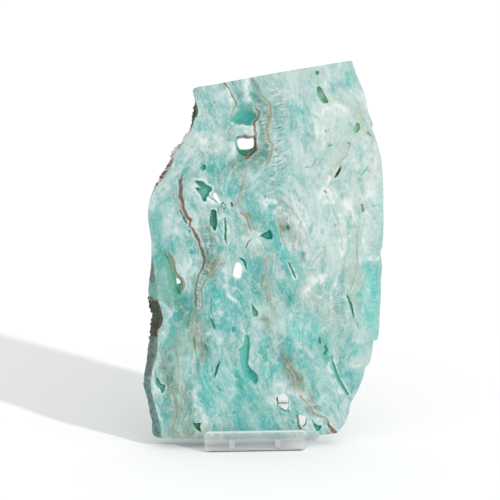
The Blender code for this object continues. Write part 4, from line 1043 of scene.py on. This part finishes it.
    def pigments(self, points, depth):
        """The share of each pigment at points on the face or below it; depth runs from 0 to 1."""
        points = points + self.grid.sample(self.drift, points) * depth[:, None]
        read = self.read_fields(points)
        warp = self.grid.sample(self.warp, points)
        wash = SimpleNamespace(**{
            name: self.washed(points + warp * (0.5 if name == "teal" else 1), name) for name in WASHES
        })
        share = {
            "aqua": self.aqua(read, wash.aqua),
            "bright": wash.bright * (1 + 0.25 * read.cells + 0.2 * read.threads),
            "teal": wash.teal,
            "sage": self.sage(read, wash.sage),
            "olive": wash.olive * (0.9 + 0.2 * read.threads + 0.15 * read.lumps),
            "deep": self.deep(read, wash.deep),
            "white": self.white(read, wash.white),
            "fibres": read.fibres,
            "lively": read.lively,
            "banded": read.banded * read.lively,
            "patchy": 0.50 + 0.40 * read.lumps + 0.4 * read.worn + 0.25 * read.cells,
        }
        share = {name: np.clip(values, 0, 1) for name, values in share.items()}
        near_veins = points + self.grid.sample(self.small_warp, points)
        for name, lines in (("vein", VEINS), ("green", GREEN_LINES)):
            found = self.nearest(near_veins, lines)
            share.update(zip((name + "_gap", name + "_width", name + "_share", name + "_tint"), found))
        share["layer_gap"] = read.layer_gap
        return share

    def flow_at(self, points, depth):
        """Coordinates across and along the layers, in pixels, and the depth in pixels."""
        points = points + self.grid.sample(self.drift, points) * depth[:, None]
        across_and_along = self.grid.sample(self.flow, points)
        return np.column_stack([across_and_along, depth * SLAB_THICKNESS / PIXEL])


def slit_rim(line, width):
    """A closed outline around a bent line, pointed at both ends and widest between them."""
    points = [np.array(p, float) for p in line]
    left, right = [], []
    for index, point in enumerate(points):
        ahead = points[min(index + 1, len(points) - 1)]
        behind = points[max(index - 1, 0)]
        step = (ahead - behind) / np.linalg.norm(ahead - behind)
        across = np.array([-step[1], step[0]]) * width / 2
        share = 0.6 if index in (0, len(points) - 1) else 1.0
        left.append(point + across * share)
        right.append(point - across * share)

    def tip(end, inner):
        return end + (end - inner) / np.linalg.norm(end - inner) * width * 0.6
    return [tip(points[0], points[1])] + left + [tip(points[-1], points[-2])] + right[::-1]


class Vug:
    """An open hollow in a face: its rim, how deep it is, and how it is tinted."""

    def __init__(self, depth, wall, tone, halo, *rim):
        self.depth, self.wall, self.tone, self.halo = depth * VUG_DEPTH_SHARE, wall, tone, halo
        self.rim = resampled(rim, RIM_SPACING, closed=True)
        self.closed_rim = np.concatenate([self.rim, self.rim[:1]])

    @classmethod
    def slit(cls, depth, width, tone, halo, *line):
        return cls(depth, width * SLIT_WALL_SHARE, tone, halo, *slit_rim(line, width))


class Sheet:
    """One broad face of the slab: a triangulation in pixels with a depth at every point."""

    def __init__(self, outline, vugs, holes, spacing):
        self.vugs, self.holes = vugs, holes
        fixed = [outline] + [vug.rim for vug in vugs] + [hole for _, hole in holes]
        starts = np.cumsum([0] + [len(loop) for loop in fixed])
        self.hole_starts = [int(start) for start in starts[1 + len(vugs):-1]]
        edges = []
        for start, loop in zip(starts, fixed):
            edges += [(int(start) + i, int(start) + (i + 1) % len(loop)) for i in range(len(loop))]
        ground = self.ground(outline, np.concatenate(fixed), spacing)
        self.points = np.concatenate(fixed + [ground])
        found = delaunay_2d_cdt([Vector(p) for p in self.points], edges, [], 1, 1e-7)
        assert len(found[0]) == len(self.points), "two outlines on one face cross"
        source = np.array([origins[0] for origins in found[3]])
        triangles = source[np.array(found[2])]
        middles = self.points[triangles].mean(1)
        open_space = np.zeros(len(triangles), bool)
        for _, hole in holes:
            open_space |= inside(middles, hole)
        self.triangles = triangles[~open_space]
        self.depths, self.vug, self.tone, self.rim_room = self.hollow_out()

    @staticmethod
    def ground(outline, fixed, spacing):
        """Points of a triangular grid inside the outline, clear of the fixed points."""
        row_step = spacing * 0.866
        left, top = outline.min(0) - spacing
        right, bottom = outline.max(0) + spacing
        rows = np.arange(top, bottom, row_step)
        columns = np.arange(left, right, spacing)
        keep = np.zeros((len(rows), len(columns)), bool)
        shifts = (np.arange(len(rows)) % 2) * spacing / 2
        a, b = outline, np.roll(outline, -1, axis=0)
        for index, y in enumerate(rows):
            crossed = (a[:, 1] > y) != (b[:, 1] > y)
            p, q = a[crossed], b[crossed]
            marks = np.sort(p[:, 0] + (y - p[:, 1]) * (q[:, 0] - p[:, 0]) / (q[:, 1] - p[:, 1]))
            keep[index] = np.searchsorted(marks, columns + shifts[index]) % 2 == 1
        places = np.stack(np.broadcast_arrays(columns[None, :] + shifts[:, None], rows[:, None]), -1)
        near_row = np.round((fixed[:, 1] - top) / row_step).astype(int)
        for row_shift in (-1, 0, 1):
            row = np.clip(near_row + row_shift, 0, len(rows) - 1)
            near_column = np.round((fixed[:, 0] - left - shifts[row]) / spacing).astype(int)
            for column_shift in (-1, 0, 1):
                column = np.clip(near_column + column_shift, 0, len(columns) - 1)
                close = np.linalg.norm(places[row, column] - fixed, axis=1) < spacing * 0.55
                keep[row[close], column[close]] = False
        return places[keep]

    def near(self, loop):
        """Numbers of the points within RIM_REACH of a loop's box."""
        low, high = loop.min(0) - RIM_REACH, loop.max(0) + RIM_REACH
        return np.flatnonzero(np.all((self.points > low) & (self.points < high), axis=1))

    def hollow_out(self):
        """Depth in metres, vug share, tone and pixels to the white rims' outer edge at every point."""
        count = len(self.points)
        depths, share = np.zeros(count), np.zeros(count)
        tone, room = np.full(count, 0.5), np.full(count, NO_RIM_NEAR)
        for vug in self.vugs:
            near = self.near(vug.rim)
            gap = distance_to(self.points[near], vug.closed_rim)
            within = inside(self.points[near], vug.rim) & (gap > 1e-6)
            sunk = vug.depth * smoothstep(0, vug.wall, gap) ** 0.7
            depths[near] = np.where(within, np.maximum(depths[near], sunk), depths[near])
            filled = np.where(within | (gap < 1e-6), 1.0, 0.0)
            share[near] = np.maximum(share[near], filled)
            tone[near] = np.where(filled > 0, vug.tone, tone[near])
            if vug.halo:
                room[near] = np.minimum(room[near], gap * (1 - filled) - vug.halo)
        for start, (depth, hole) in zip(self.hole_starts, self.holes):
            depths[start:start + len(hole)] = depth
            near = self.near(hole)
            gap = distance_to(self.points[near], np.concatenate([hole, hole[:1]]))
            room[near] = np.minimum(room[near], gap - HOLE_HALO)
        return depths, share, tone, room

    def shade(self):
        """Varies the tone inside the vugs, partly with painted shade and painted light on their walls, and
        bares parts of their walls.
        """
        for shift, width, *line in VUG_SHIFTS_AND_PAINTED_SHADE:
            self.tone += 0.35 * shift * stroke(self.points, line, width)
        for strength, width, *line in BARE:
            self.vug *= 1 - strength * stroke(self.points, line, width)
        self.tone = np.clip(self.tone, 0, 1)


class Surface:
    """The slab's points, gathered block by block, with the kind of surface at each, and its triangles."""

    KINDS = ["vug", "tone", "rim_room", "side"] + ["crust_" + name for name in CRUSTS]

    def __init__(self):
        self.points, self.depths, self.pattern_points, self.triangles = [], [], [], []
        self.values = {kind: [] for kind in self.KINDS}
        self.count = 0

    def add(self, points, depths, pattern_points=None, **values):
        """Adds points in pixels with their depths in metres; returns the first one's number."""
        start = self.count
        self.count += len(points)
        self.points.append(points)
        self.depths.append(depths)
        self.pattern_points.append(points if pattern_points is None else pattern_points)
        for kind in self.KINDS:
            block = np.broadcast_to(values.get(kind, 0.0), len(points))
            self.values[kind].append(block.astype(float))
        return start

    def add_sheet(self, sheet, depths, facing_back=False):
        start = self.add(sheet.points, depths, vug=sheet.vug, tone=sheet.tone, rim_room=sheet.rim_room)
        triangles = sheet.triangles[:, ::-1] if facing_back else sheet.triangles
        self.triangles.append(triangles + start)
        return start

    def join(self, loops):
        """Closes the wall between loops of equally many points."""
        for nearer, farther in zip(loops, loops[1:]):
            a, b = nearer, np.roll(nearer, -1)
            c, d = np.roll(farther, -1), farther
            self.triangles.append(np.concatenate([np.stack([a, b, c], 1), np.stack([a, c, d], 1)]))

    def mesh(self, name, pattern):
        """The mesh in its place in the stand, with its pigments and surface kinds as attributes."""
        pixels = np.concatenate(self.points)
        depth = np.concatenate(self.depths)
        local = np.stack([
            (pixels[:, 0] - MIDDLE_PIXEL) * PIXEL, depth, (BOTTOM_PIXEL - pixels[:, 1]) * PIXEL
        ], axis=1)
        world = local @ np.array(STANDING.to_3x3()).T + np.array(STANDING.translation)
        mesh = bpy.data.meshes.new(name)
        mesh.from_pydata(world.tolist(), [], np.concatenate(self.triangles).tolist())
        places = np.concatenate(self.pattern_points)
        values = pattern.pigments(places, depth / SLAB_THICKNESS)
        values.update({kind: np.concatenate(blocks) for kind, blocks in self.values.items()})
        for key, numbers in values.items():
            attribute = mesh.attributes.new(key, "FLOAT", "POINT")
            attribute.data.foreach_set("value", numbers.astype(np.float32))
        flow = pattern.flow_at(places, depth / SLAB_THICKNESS)
        attribute = mesh.attributes.new("flow", "FLOAT_VECTOR", "POINT")
        attribute.data.foreach_set("vector", flow.astype(np.float32).ravel())
        return mesh


def side_noise(points, depth, size, seed):
    """Repeatable smooth noise on the slab's side, from -1 to 1."""
    random = np.random.default_rng(seed)
    total = np.zeros(len(points))
    place = np.stack([points[:, 0] * PIXEL, points[:, 1] * PIXEL, depth], axis=1) / size
    for _ in range(7):
        wave = random.normal(0, 1, 3)
        total += np.sin(place @ wave * 2.2 + random.uniform(0, 6.28))
    return total / 2.6


def crust_shares(rows, coarse, fine, depth, rough):
    """How strongly each crust covers one ring of the side, from the ring's rows and its lumps."""
    shares = {name: 0.0 for name in CRUSTS}
    crust = rough * (0.75 + 0.5 * min(1, depth / 0.002))
    y = rows + coarse * 1.5
    for first, last, strength, pigment in CRUST_STRETCHES:
        blur = min(3, (last - first) / 3)
        stretch = smoothstep(first - blur, first + blur, y) * smoothstep(last + blur, last - blur, y)
        shares[pigment] = np.maximum(shares[pigment], strength * np.clip(stretch * crust, 0, 1))
    first, last = RUSTY_ROWS
    rusty = smoothstep(first - 2, first + 2, y) * smoothstep(last + 2, last - 2, y)
    rim = max(1 - depth / 0.0013, 1 - abs(depth - 0.0066) / 0.0018, 0)
    rim = rim + 0.9 * smoothstep(0.3, 1.0, coarse + fine)
    shares["rust"] = np.maximum(shares["rust"], rusty * np.clip(rim, 0, 1) * rough)
    return {"crust_" + pigment: share for pigment, share in shares.items()}


def add_side(surface, outline, flare, front_start, back_start):
    """The side between the faces, ring by ring, ragged where the stone was left rough."""
    count = len(outline)
    rows = outline[:, 1]
    rough = smoothstep(0.5, 1.3, flare)
    crusty = np.zeros(count)
    for start, full, fading, end in RAGGED_ROWS:
        crusty = np.maximum(crusty, smoothstep(start, full, rows) * smoothstep(end, fading, rows))
    jagged = smoothstep(0.7, 3.0, flare) * (0.25 + 0.75 * crusty)
    rings = [np.arange(count) + front_start]
    for depth, share in SIDE_PROFILE:
        at = np.full(count, depth)
        inner = min(1.0, min(depth, SLAB_THICKNESS - depth) / SMOOTH_EDGE)
        coarse = side_noise(outline, at, COARSE_LUMPS, COARSE_SEED)
        fine = side_noise(outline, at, FINE_LUMPS, FINE_SEED)
        push = (coarse * 1.1 + fine * 0.5) * jagged * inner + coarse * 0.12 * (flare < 0) * inner
        ring = outline - np.stack([flare * share + push, fine * jagged * 0.3 * inner], axis=1)
        start = surface.add(ring, at, pattern_points=outline, side=1.0, rim_room=NO_RIM_NEAR,
                            **crust_shares(rows, coarse, fine, depth, rough))
        rings.append(np.arange(count) + start)
    rings.append(np.arange(count) + back_start)
    return rings


def add_throat(surface, number, depth, hole, far_hole, hole_start, far_start):
    """The wobbly wall of one hole, from its opening in the front face to the one in the back."""
    size = len(hole)
    loops = [np.arange(size) + hole_start]
    for share in THROAT_STEPS:
        at = np.full(size, depth + (SLAB_THICKNESS - depth) * share)
        throat = hole + (far_hole - hole) * share
        middle = throat.mean(0)
        wobble = side_noise(throat, at, THROAT_LUMPS, THROAT_SEED + number)[:, None]
        throat = middle + (throat - middle) * (1 + 0.06 * wobble)
        start = surface.add(throat, at, vug=THROAT_TONE, tone=THROAT_TONE, rim_room=NO_RIM_NEAR)
        loops.append(np.arange(size) + start)
    loops.append(np.arange(size) + far_start)
    return loops


def build_slab(pattern):
    """The slab's dense mesh: two faces with their vugs, the side, and the holes' walls."""
    traced = resampled(OUTLINE, EDGE_SPACING, closed=True)
    outline, flare = traced[:, :2], traced[:, 2]
    back_outline = outline - np.stack([flare * BACK_SHARE, flare * 0], axis=1)
    holes = [
        (depth * VUG_DEPTH_SHARE, resampled(opening, RIM_SPACING, closed=True))
        for depth, *opening in HOLES
    ]
    back_holes = []
    for _, hole in holes:
        middle = hole.mean(0)
        back_holes.append((0.0, middle + (hole - middle) * BACK_HOLE_WIDENING))
    front_vugs = [Vug(*vug) for vug in FRONT_VUGS + [HOLE_RIM]] + [Vug.slit(*slit) for slit in FRONT_SLITS]
    back_vugs = [Vug(*vug) for vug in BACK_VUGS] + [Vug.slit(*slit) for slit in BACK_SLITS]
    front = Sheet(outline, front_vugs, holes, FRONT_SPACING)
    front.shade()
    back = Sheet(back_outline, back_vugs, back_holes, BACK_SPACING)

    surface = Surface()
    front_start = surface.add_sheet(front, front.depths)
    back_start = surface.add_sheet(back, SLAB_THICKNESS - back.depths, facing_back=True)
    walls = [add_side(surface, outline, flare, front_start, back_start)]
    for number, ((depth, hole), (_, far_hole)) in enumerate(zip(holes, back_holes)):
        walls.append(add_throat(
            surface, number, depth, hole, far_hole,
            front.hole_starts[number] + front_start, back.hole_starts[number] + back_start,
        ))
    for loops in walls:
        surface.join(loops)
    mesh = surface.mesh("aragonite_slab", pattern)
    turn_outwards(mesh)
    mesh.shade_smooth()
    mesh.set_sharp_from_angle(angle=SHARP_ANGLE)
    slab = bpy.data.objects.new("aragonite_slab", mesh)
    bpy.context.scene.collection.objects.link(slab)
    return slab


def turn_outwards(mesh):
    """Turns every triangle's front outwards."""
    shape = bmesh.new()
    shape.from_mesh(mesh)
    bmesh.ops.recalc_face_normals(shape, faces=shape.faces)
    shape.to_mesh(mesh)
    shape.free()


class Recipe:
    """A material and short ways to add its nodes."""

    def __init__(self, name):
        self.material = bpy.data.materials.new(name)
        self.material.use_nodes = True
        self.tree = self.material.node_tree
        self.shader = self.tree.nodes["Principled BSDF"]

    def put(self, value, socket):
        if isinstance(value, bpy.types.NodeSocket):
            self.tree.links.new(value, socket)
        else:
            socket.default_value = value

    def finish(self, **inputs):
        """Puts values on the shader's sockets, named with underscores for spaces."""
        for name, value in inputs.items():
            self.put(value, self.shader.inputs[name.replace("_", " ")])
        return self.material

    def add(self, kind, inputs=None, **settings):
        node = self.tree.nodes.new(kind)
        for name, value in settings.items():
            setattr(node, name, value)
        for name, value in (inputs or {}).items():
            self.put(value, node.inputs[name])
        return node

    def attribute(self, name):
        return self.add("ShaderNodeAttribute", attribute_name=name).outputs["Fac"]

    def place(self):
        return self.add("ShaderNodeTexCoord").outputs["Object"]

    def mix(self, share, first, second):
        node = self.add("ShaderNodeMix", data_type="RGBA")
        self.put(share, node.inputs[0])
        self.put(first, node.inputs[6])
        self.put(second, node.inputs[7])
        return node.outputs[2]

    def math(self, operation, first, second=0.0, clamp=False):
        node = self.add("ShaderNodeMath", operation=operation, use_clamp=clamp)
        self.put(first, node.inputs[0])
        self.put(second, node.inputs[1])
        return node.outputs[0]

    def plus(self, first, second, clamp=False):
        return self.math("ADD", first, second, clamp)

    def minus(self, first, second):
        return self.math("SUBTRACT", first, second)

    def times(self, first, second, clamp=False):
        return self.math("MULTIPLY", first, second, clamp)

    def larger(self, first, second):
        return self.math("MAXIMUM", first, second)

    def size(self, value):
        return self.math("ABSOLUTE", value)

    def noise(self, scale, detail, roughness, vector):
        inputs = {"Scale": scale, "Detail": detail, "Roughness": roughness, "Vector": vector}
        return self.add("ShaderNodeTexNoise", inputs).outputs["Fac"]

    def drawn(self, across, along, detail, roughness):
        """Noise with lumps of the given sizes, in pixels, across and along the stone's layers."""
        flow = self.add("ShaderNodeAttribute", attribute_name="flow").outputs["Vector"]
        node = self.add("ShaderNodeVectorMath", operation="MULTIPLY")
        self.put(flow, node.inputs[0])
        node.inputs[1].default_value = (1 / across, 1 / along, 1 / 3)
        return self.noise(1.0, detail, roughness, node.outputs["Vector"])

    def span(self, value, low, high, to_low=0.0, to_high=1.0):
        node = self.add("ShaderNodeMapRange", {
            "Value": value, "From Min": low, "From Max": high, "To Min": to_low, "To Max": to_high
        })
        return node.outputs["Result"]

    def swing(self, noise, to_low, to_high):
        """The usual range of a noise turned into another one."""
        return self.span(noise, 0.3, 0.7, to_low, to_high)

    def ramp(self, value, stops, brightness):
        node = self.add("ShaderNodeValToRGB", {"Fac": value})
        elements = node.color_ramp.elements
        while len(elements) < len(stops):
            elements.new(0.5)
        for element, (position, colour) in zip(elements, stops):
            element.position = position
            element.color = linear(colour, brightness)
        return node.outputs["Color"]


def stone_textures(recipe):
    """The noises that the stone's layers of colour share."""
    place = recipe.place()
    noises = SimpleNamespace(
        mottle=recipe.noise(1100, 3.0, 0.6, place), grain=recipe.noise(3200, 2.0, 0.6, place),
        lumps=recipe.noise(420, 4.0, 0.65, place), flecks=recipe.noise(1500, 1.0, 0.5, place),
        silk=recipe.drawn(2.2, 15, 3.0, 0.6), curds=recipe.drawn(5.0, 9, 4.0, 0.65),
    )
    seam = recipe.size(recipe.minus(recipe.drawn(7.0, 22, 2.5, 0.5), 0.5))
    noises.seam = recipe.times(recipe.span(seam, 0.0, 0.022, 1.0, 0.0), recipe.attribute("patchy"))
    combed = recipe.minus(recipe.drawn(9, 1.7, 2.0, 0.55), 0.5)
    noises.comb = recipe.times(combed, recipe.attribute("fibres"))
    spread = recipe.plus(recipe.attribute("layer_gap"), recipe.swing(noises.curds, -1.6, 1.6))
    spread = recipe.plus(spread, recipe.swing(noises.silk, -0.5, 0.5))
    waves = recipe.math("SINE", recipe.times(spread, 6.2832 / GROWTH_SPACING))
    noises.growth = recipe.times(waves, recipe.attribute("banded"))
    return noises


def face_colour(recipe, noises):
    """The washes of pigment and of painted glow, laid over each other."""
    lively = recipe.attribute("lively")
    fine = recipe.times(recipe.swing(noises.silk, -0.16, 0.16), lively)
    fine = recipe.plus(fine, recipe.times(recipe.swing(noises.curds, -0.20, 0.20), lively))
    fine = recipe.plus(fine, recipe.swing(noises.mottle, -0.08, 0.08))
    colour = recipe.mix(recipe.plus(recipe.attribute("aqua"), fine, True), linear(PALE), linear(AQUA))
    # Bright turquoise, and painted glow of the lamp's light along the right edge
    bright = recipe.times(recipe.attribute("bright"), recipe.swing(noises.curds, 0.8, 1.2), True)
    colour = recipe.mix(bright, colour, linear(BRIGHT_TURQUOISE_AND_EDGE_GLOW))
    colour = recipe.mix(recipe.attribute("teal"), colour, linear(TEAL))
    colour = recipe.mix(recipe.attribute("sage"), colour, linear(SAGE))
    shade = recipe.times(recipe.span(noises.silk, 0.40, 0.27, 0.0, 0.38), lively)
    shade = recipe.larger(shade, recipe.span(noises.comb, -0.01, -0.12, 0.0, 0.7))
    shade = recipe.larger(shade, recipe.span(noises.growth, -0.4, -1.0, 0.0, 0.22))
    colour = recipe.mix(recipe.plus(recipe.attribute("deep"), shade, True), colour, linear(DEEP))
    return recipe.mix(recipe.attribute("olive"), colour, linear(OLIVE))


def milky_share(recipe, noises):
    """Where the stone is white: its washes, the rims of the vugs, and fine threads and flecks."""
    frayed = recipe.plus(recipe.attribute("rim_room"), recipe.swing(noises.curds, -1.6, 1.9))
    rims = recipe.span(frayed, 0.8, -0.9, 0.0, 0.62)
    threads = recipe.times(recipe.span(noises.silk, 0.60, 0.73, 0.0, 0.28), recipe.attribute("lively"))
    threads = recipe.larger(threads, recipe.times(noises.seam, 0.42))
    threads = recipe.larger(threads, recipe.span(noises.comb, 0.01, 0.12, 0.0, 0.4))
    threads = recipe.larger(threads, recipe.span(noises.growth, 0.35, 1.0, 0.0, 0.26))
    threads = recipe.larger(threads, recipe.span(noises.flecks, 0.60, 0.75, 0.0, 0.4))
    milky = recipe.plus(recipe.larger(recipe.attribute("white"), rims), threads)
    return recipe.times(milky, recipe.span(noises.grain, 0.25, 0.75, 0.7, 1.2), True)


def vein_colour(recipe, colour, noises):
    """Draws the veins and the fine green lines over a colour, with frayed edges and white fringes."""
    frayed = recipe.plus(recipe.swing(noises.mottle, -0.3, 0.3), recipe.swing(noises.curds, -0.25, 0.25))

    def past_edge(name):
        gap = recipe.size(recipe.attribute(name + "_gap"))
        return recipe.plus(recipe.minus(gap, recipe.attribute(name + "_width")), frayed)
    edge = past_edge("vein")
    share = recipe.attribute("vein_share")
    fringe = recipe.span(recipe.size(recipe.minus(edge, 1.3)), 1.0, 0.2, 0.0, 0.24)
    colour = recipe.mix(recipe.times(fringe, recipe.times(share, share)), colour, linear(WHITE))
    worn = recipe.times(share, recipe.span(noises.curds, 0.34, 0.60, 0.78, 1.0))
    line = recipe.times(recipe.span(edge, 0.5, -0.6), worn)
    tints = recipe.ramp(recipe.attribute("vein_tint"), VEIN_TINTS, LIT_BRIGHTNESS)
    colour = recipe.mix(line, colour, tints)
    line = recipe.times(recipe.span(past_edge("green"), 0.5, -0.4), recipe.attribute("green_share"))
    tints = recipe.ramp(recipe.attribute("green_tint"), GREEN_TINTS, LIT_BRIGHTNESS)
    return recipe.mix(line, colour, tints)


def crust_colour(recipe, colour, noises):
    """Draws the crusts of the rough side over a colour, the dark one partly painted shade; also returns how
    much is crust.
    """
    total = 0.0
    for name, tint in CRUSTS.items():
        share = recipe.attribute("crust_" + name)
        darker = tuple(channel * 0.72 for channel in tint)
        patch = recipe.mix(
            recipe.span(noises.lumps, 0.40, 0.62),
            linear(tint, shine=CRUST_SHINE), linear(darker, shine=CRUST_SHINE),
        )
        colour = recipe.mix(share, colour, patch)
        total = recipe.larger(share, total)
    return colour, total


def aragonite():
    """Banded aqua stone with veins and glassy green vugs; polished on its faces, rough on its sides."""
    recipe = Recipe("aragonite")
    noises = stone_textures(recipe)
    vug, side = recipe.attribute("vug"), recipe.attribute("side")
    colour = recipe.mix(milky_share(recipe, noises), face_colour(recipe, noises), linear(WHITE))
    tone = recipe.plus(recipe.attribute("tone"), recipe.swing(noises.mottle, -0.05, 0.05), True)
    colour = recipe.mix(vug, colour, recipe.ramp(tone, VUG_TONES, VUG_BRIGHTNESS))
    colour = vein_colour(recipe, colour, noises)
    colour, crust = crust_colour(recipe, colour, noises)

    rough = recipe.plus(
        recipe.span(noises.mottle, 0.2, 0.8, 0.13, 0.24), recipe.times(recipe.larger(side, vug), 0.3)
    )
    rough = recipe.plus(rough, recipe.times(crust, 0.25), True)
    relief = recipe.times(noises.mottle, recipe.plus(side, 0.03))
    relief = recipe.plus(relief, recipe.times(noises.lumps, crust))
    relief = recipe.plus(relief, recipe.times(recipe.times(noises.grain, vug), 0.25))
    bump = recipe.add("ShaderNodeBump", {"Strength": 0.6, "Distance": 0.0004, "Height": relief})
    return recipe.finish(Base_Color=colour, Roughness=rough, Normal=bump.outputs["Normal"], IOR=1.5)


def acrylic():
    """Clear sheet, a little hazy, with fine scuffs on its faces and paler, less clear cut edges."""
    recipe = Recipe("clear_acrylic")
    scuffs = recipe.noise(900, 4.0, 0.7, recipe.place())
    cut = recipe.attribute("cut")
    rough = recipe.plus(recipe.span(scuffs, 0.45, 0.75, 0.02, 0.06), recipe.times(cut, 0.3))
    clear = recipe.minus(0.87, recipe.times(cut, 0.65))
    return recipe.finish(
        Base_Color=(0.985, 0.998, 0.996, 1), Roughness=rough, Transmission_Weight=clear, IOR=1.49
    )


def dress_stand(material):
    """Gives the stand's solids the acrylic, marks their cut edges, and eases their sharp corners."""
    for name in ("front_plate", "rear_plate", "runner_left", "runner_right"):
        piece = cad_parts[name]
        piece.data.materials.clear()
        piece.data.materials.append(material)
        across_sheet = 0 if name.startswith("runner") else 1
        mark = piece.data.attributes.new("cut", "FLOAT", "FACE")
        for polygon in piece.data.polygons:
            mark.data[polygon.index].value = float(abs(polygon.normal[across_sheet]) < 0.7)
        weld = piece.modifiers.new("weld", "WELD")
        weld.merge_threshold = 0.00001
        bevel = piece.modifiers.new("eased", "BEVEL")
        bevel.width = EASED_EDGE
        bevel.segments = 2
        bevel.limit_method = "ANGLE"
        bevel.angle_limit = math.radians(40)


def build_floor():
    """A large pale table under the stand."""
    recipe = Recipe("pale_table")
    shades = recipe.noise(3, 2.0, 0.5, recipe.place())
    tint = recipe.mix(shades, (0.90, 0.90, 0.90, 1), (0.93, 0.93, 0.93, 1))
    corners = [(-1, -1), (1, -1), (1, 1), (-1, 1)]
    mesh = bpy.data.meshes.new("table_top")
    mesh.from_pydata([(x * TABLE_REACH, y * TABLE_REACH, 0) for x, y in corners], [], [(0, 1, 2, 3)])
    mesh.materials.append(recipe.finish(Base_Color=tint, Roughness=0.9))
    floor = bpy.data.objects.new("table_top", mesh)
    bpy.context.scene.collection.objects.link(floor)


def place_camera():
    """A long lens, a little above and left of square on, framed so that the slab fills the same pixels."""
    across, down = AIM_PIXEL
    aim = STANDING @ Vector(((across - MIDDLE_PIXEL) * PIXEL, 0, (BOTTOM_PIXEL - down) * PIXEL))
    level = math.cos(CAMERA_ELEVATION)
    outward = Vector((
        -math.sin(CAMERA_TO_LEFT) * level, -math.cos(CAMERA_TO_LEFT) * level, math.sin(CAMERA_ELEVATION)
    ))
    data = bpy.data.cameras.new("camera")
    data.sensor_width = SENSOR
    data.lens = SENSOR * CAMERA_DISTANCE / (PIXEL * IMAGE_SIZE)
    data.clip_end = 30
    camera = bpy.data.objects.new("camera", data)
    camera.location = aim + outward * CAMERA_DISTANCE
    level_view = outward.to_track_quat("Z", "Y").to_matrix()
    camera.rotation_euler = (level_view @ Matrix.Rotation(CAMERA_ROLL, 3, "Z")).to_euler()
    bpy.context.scene.collection.objects.link(camera)
    bpy.context.scene.camera = camera


def place_lights():
    """One strong lamp from the front right, and an even white room."""
    data = bpy.data.lights.new("key", "SUN")
    data.energy = LAMP_STRENGTH
    data.angle = LAMP_SPREAD
    data.color = LAMP_COLOUR
    level = math.cos(LAMP_ELEVATION)
    toward = Vector((
        math.sin(LAMP_TO_RIGHT) * level, -math.cos(LAMP_TO_RIGHT) * level, math.sin(LAMP_ELEVATION)
    ))
    key = bpy.data.objects.new("key", data)
    key.rotation_euler = toward.to_track_quat("Z", "Y").to_euler()
    bpy.context.scene.collection.objects.link(key)
    world = bpy.data.worlds.new("room")
    world.use_nodes = True
    background = world.node_tree.nodes["Background"]
    background.inputs["Color"].default_value = ROOM_COLOUR
    background.inputs["Strength"].default_value = ROOM_STRENGTH
    bpy.context.scene.world = world


place_camera()
place_lights()
build_floor()
slab = build_slab(Pattern())
slab.data.materials.append(aragonite())
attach(slab, "root")
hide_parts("slab")
dress_stand(acrylic())
bpy.context.scene.view_settings.view_transform = "Standard"
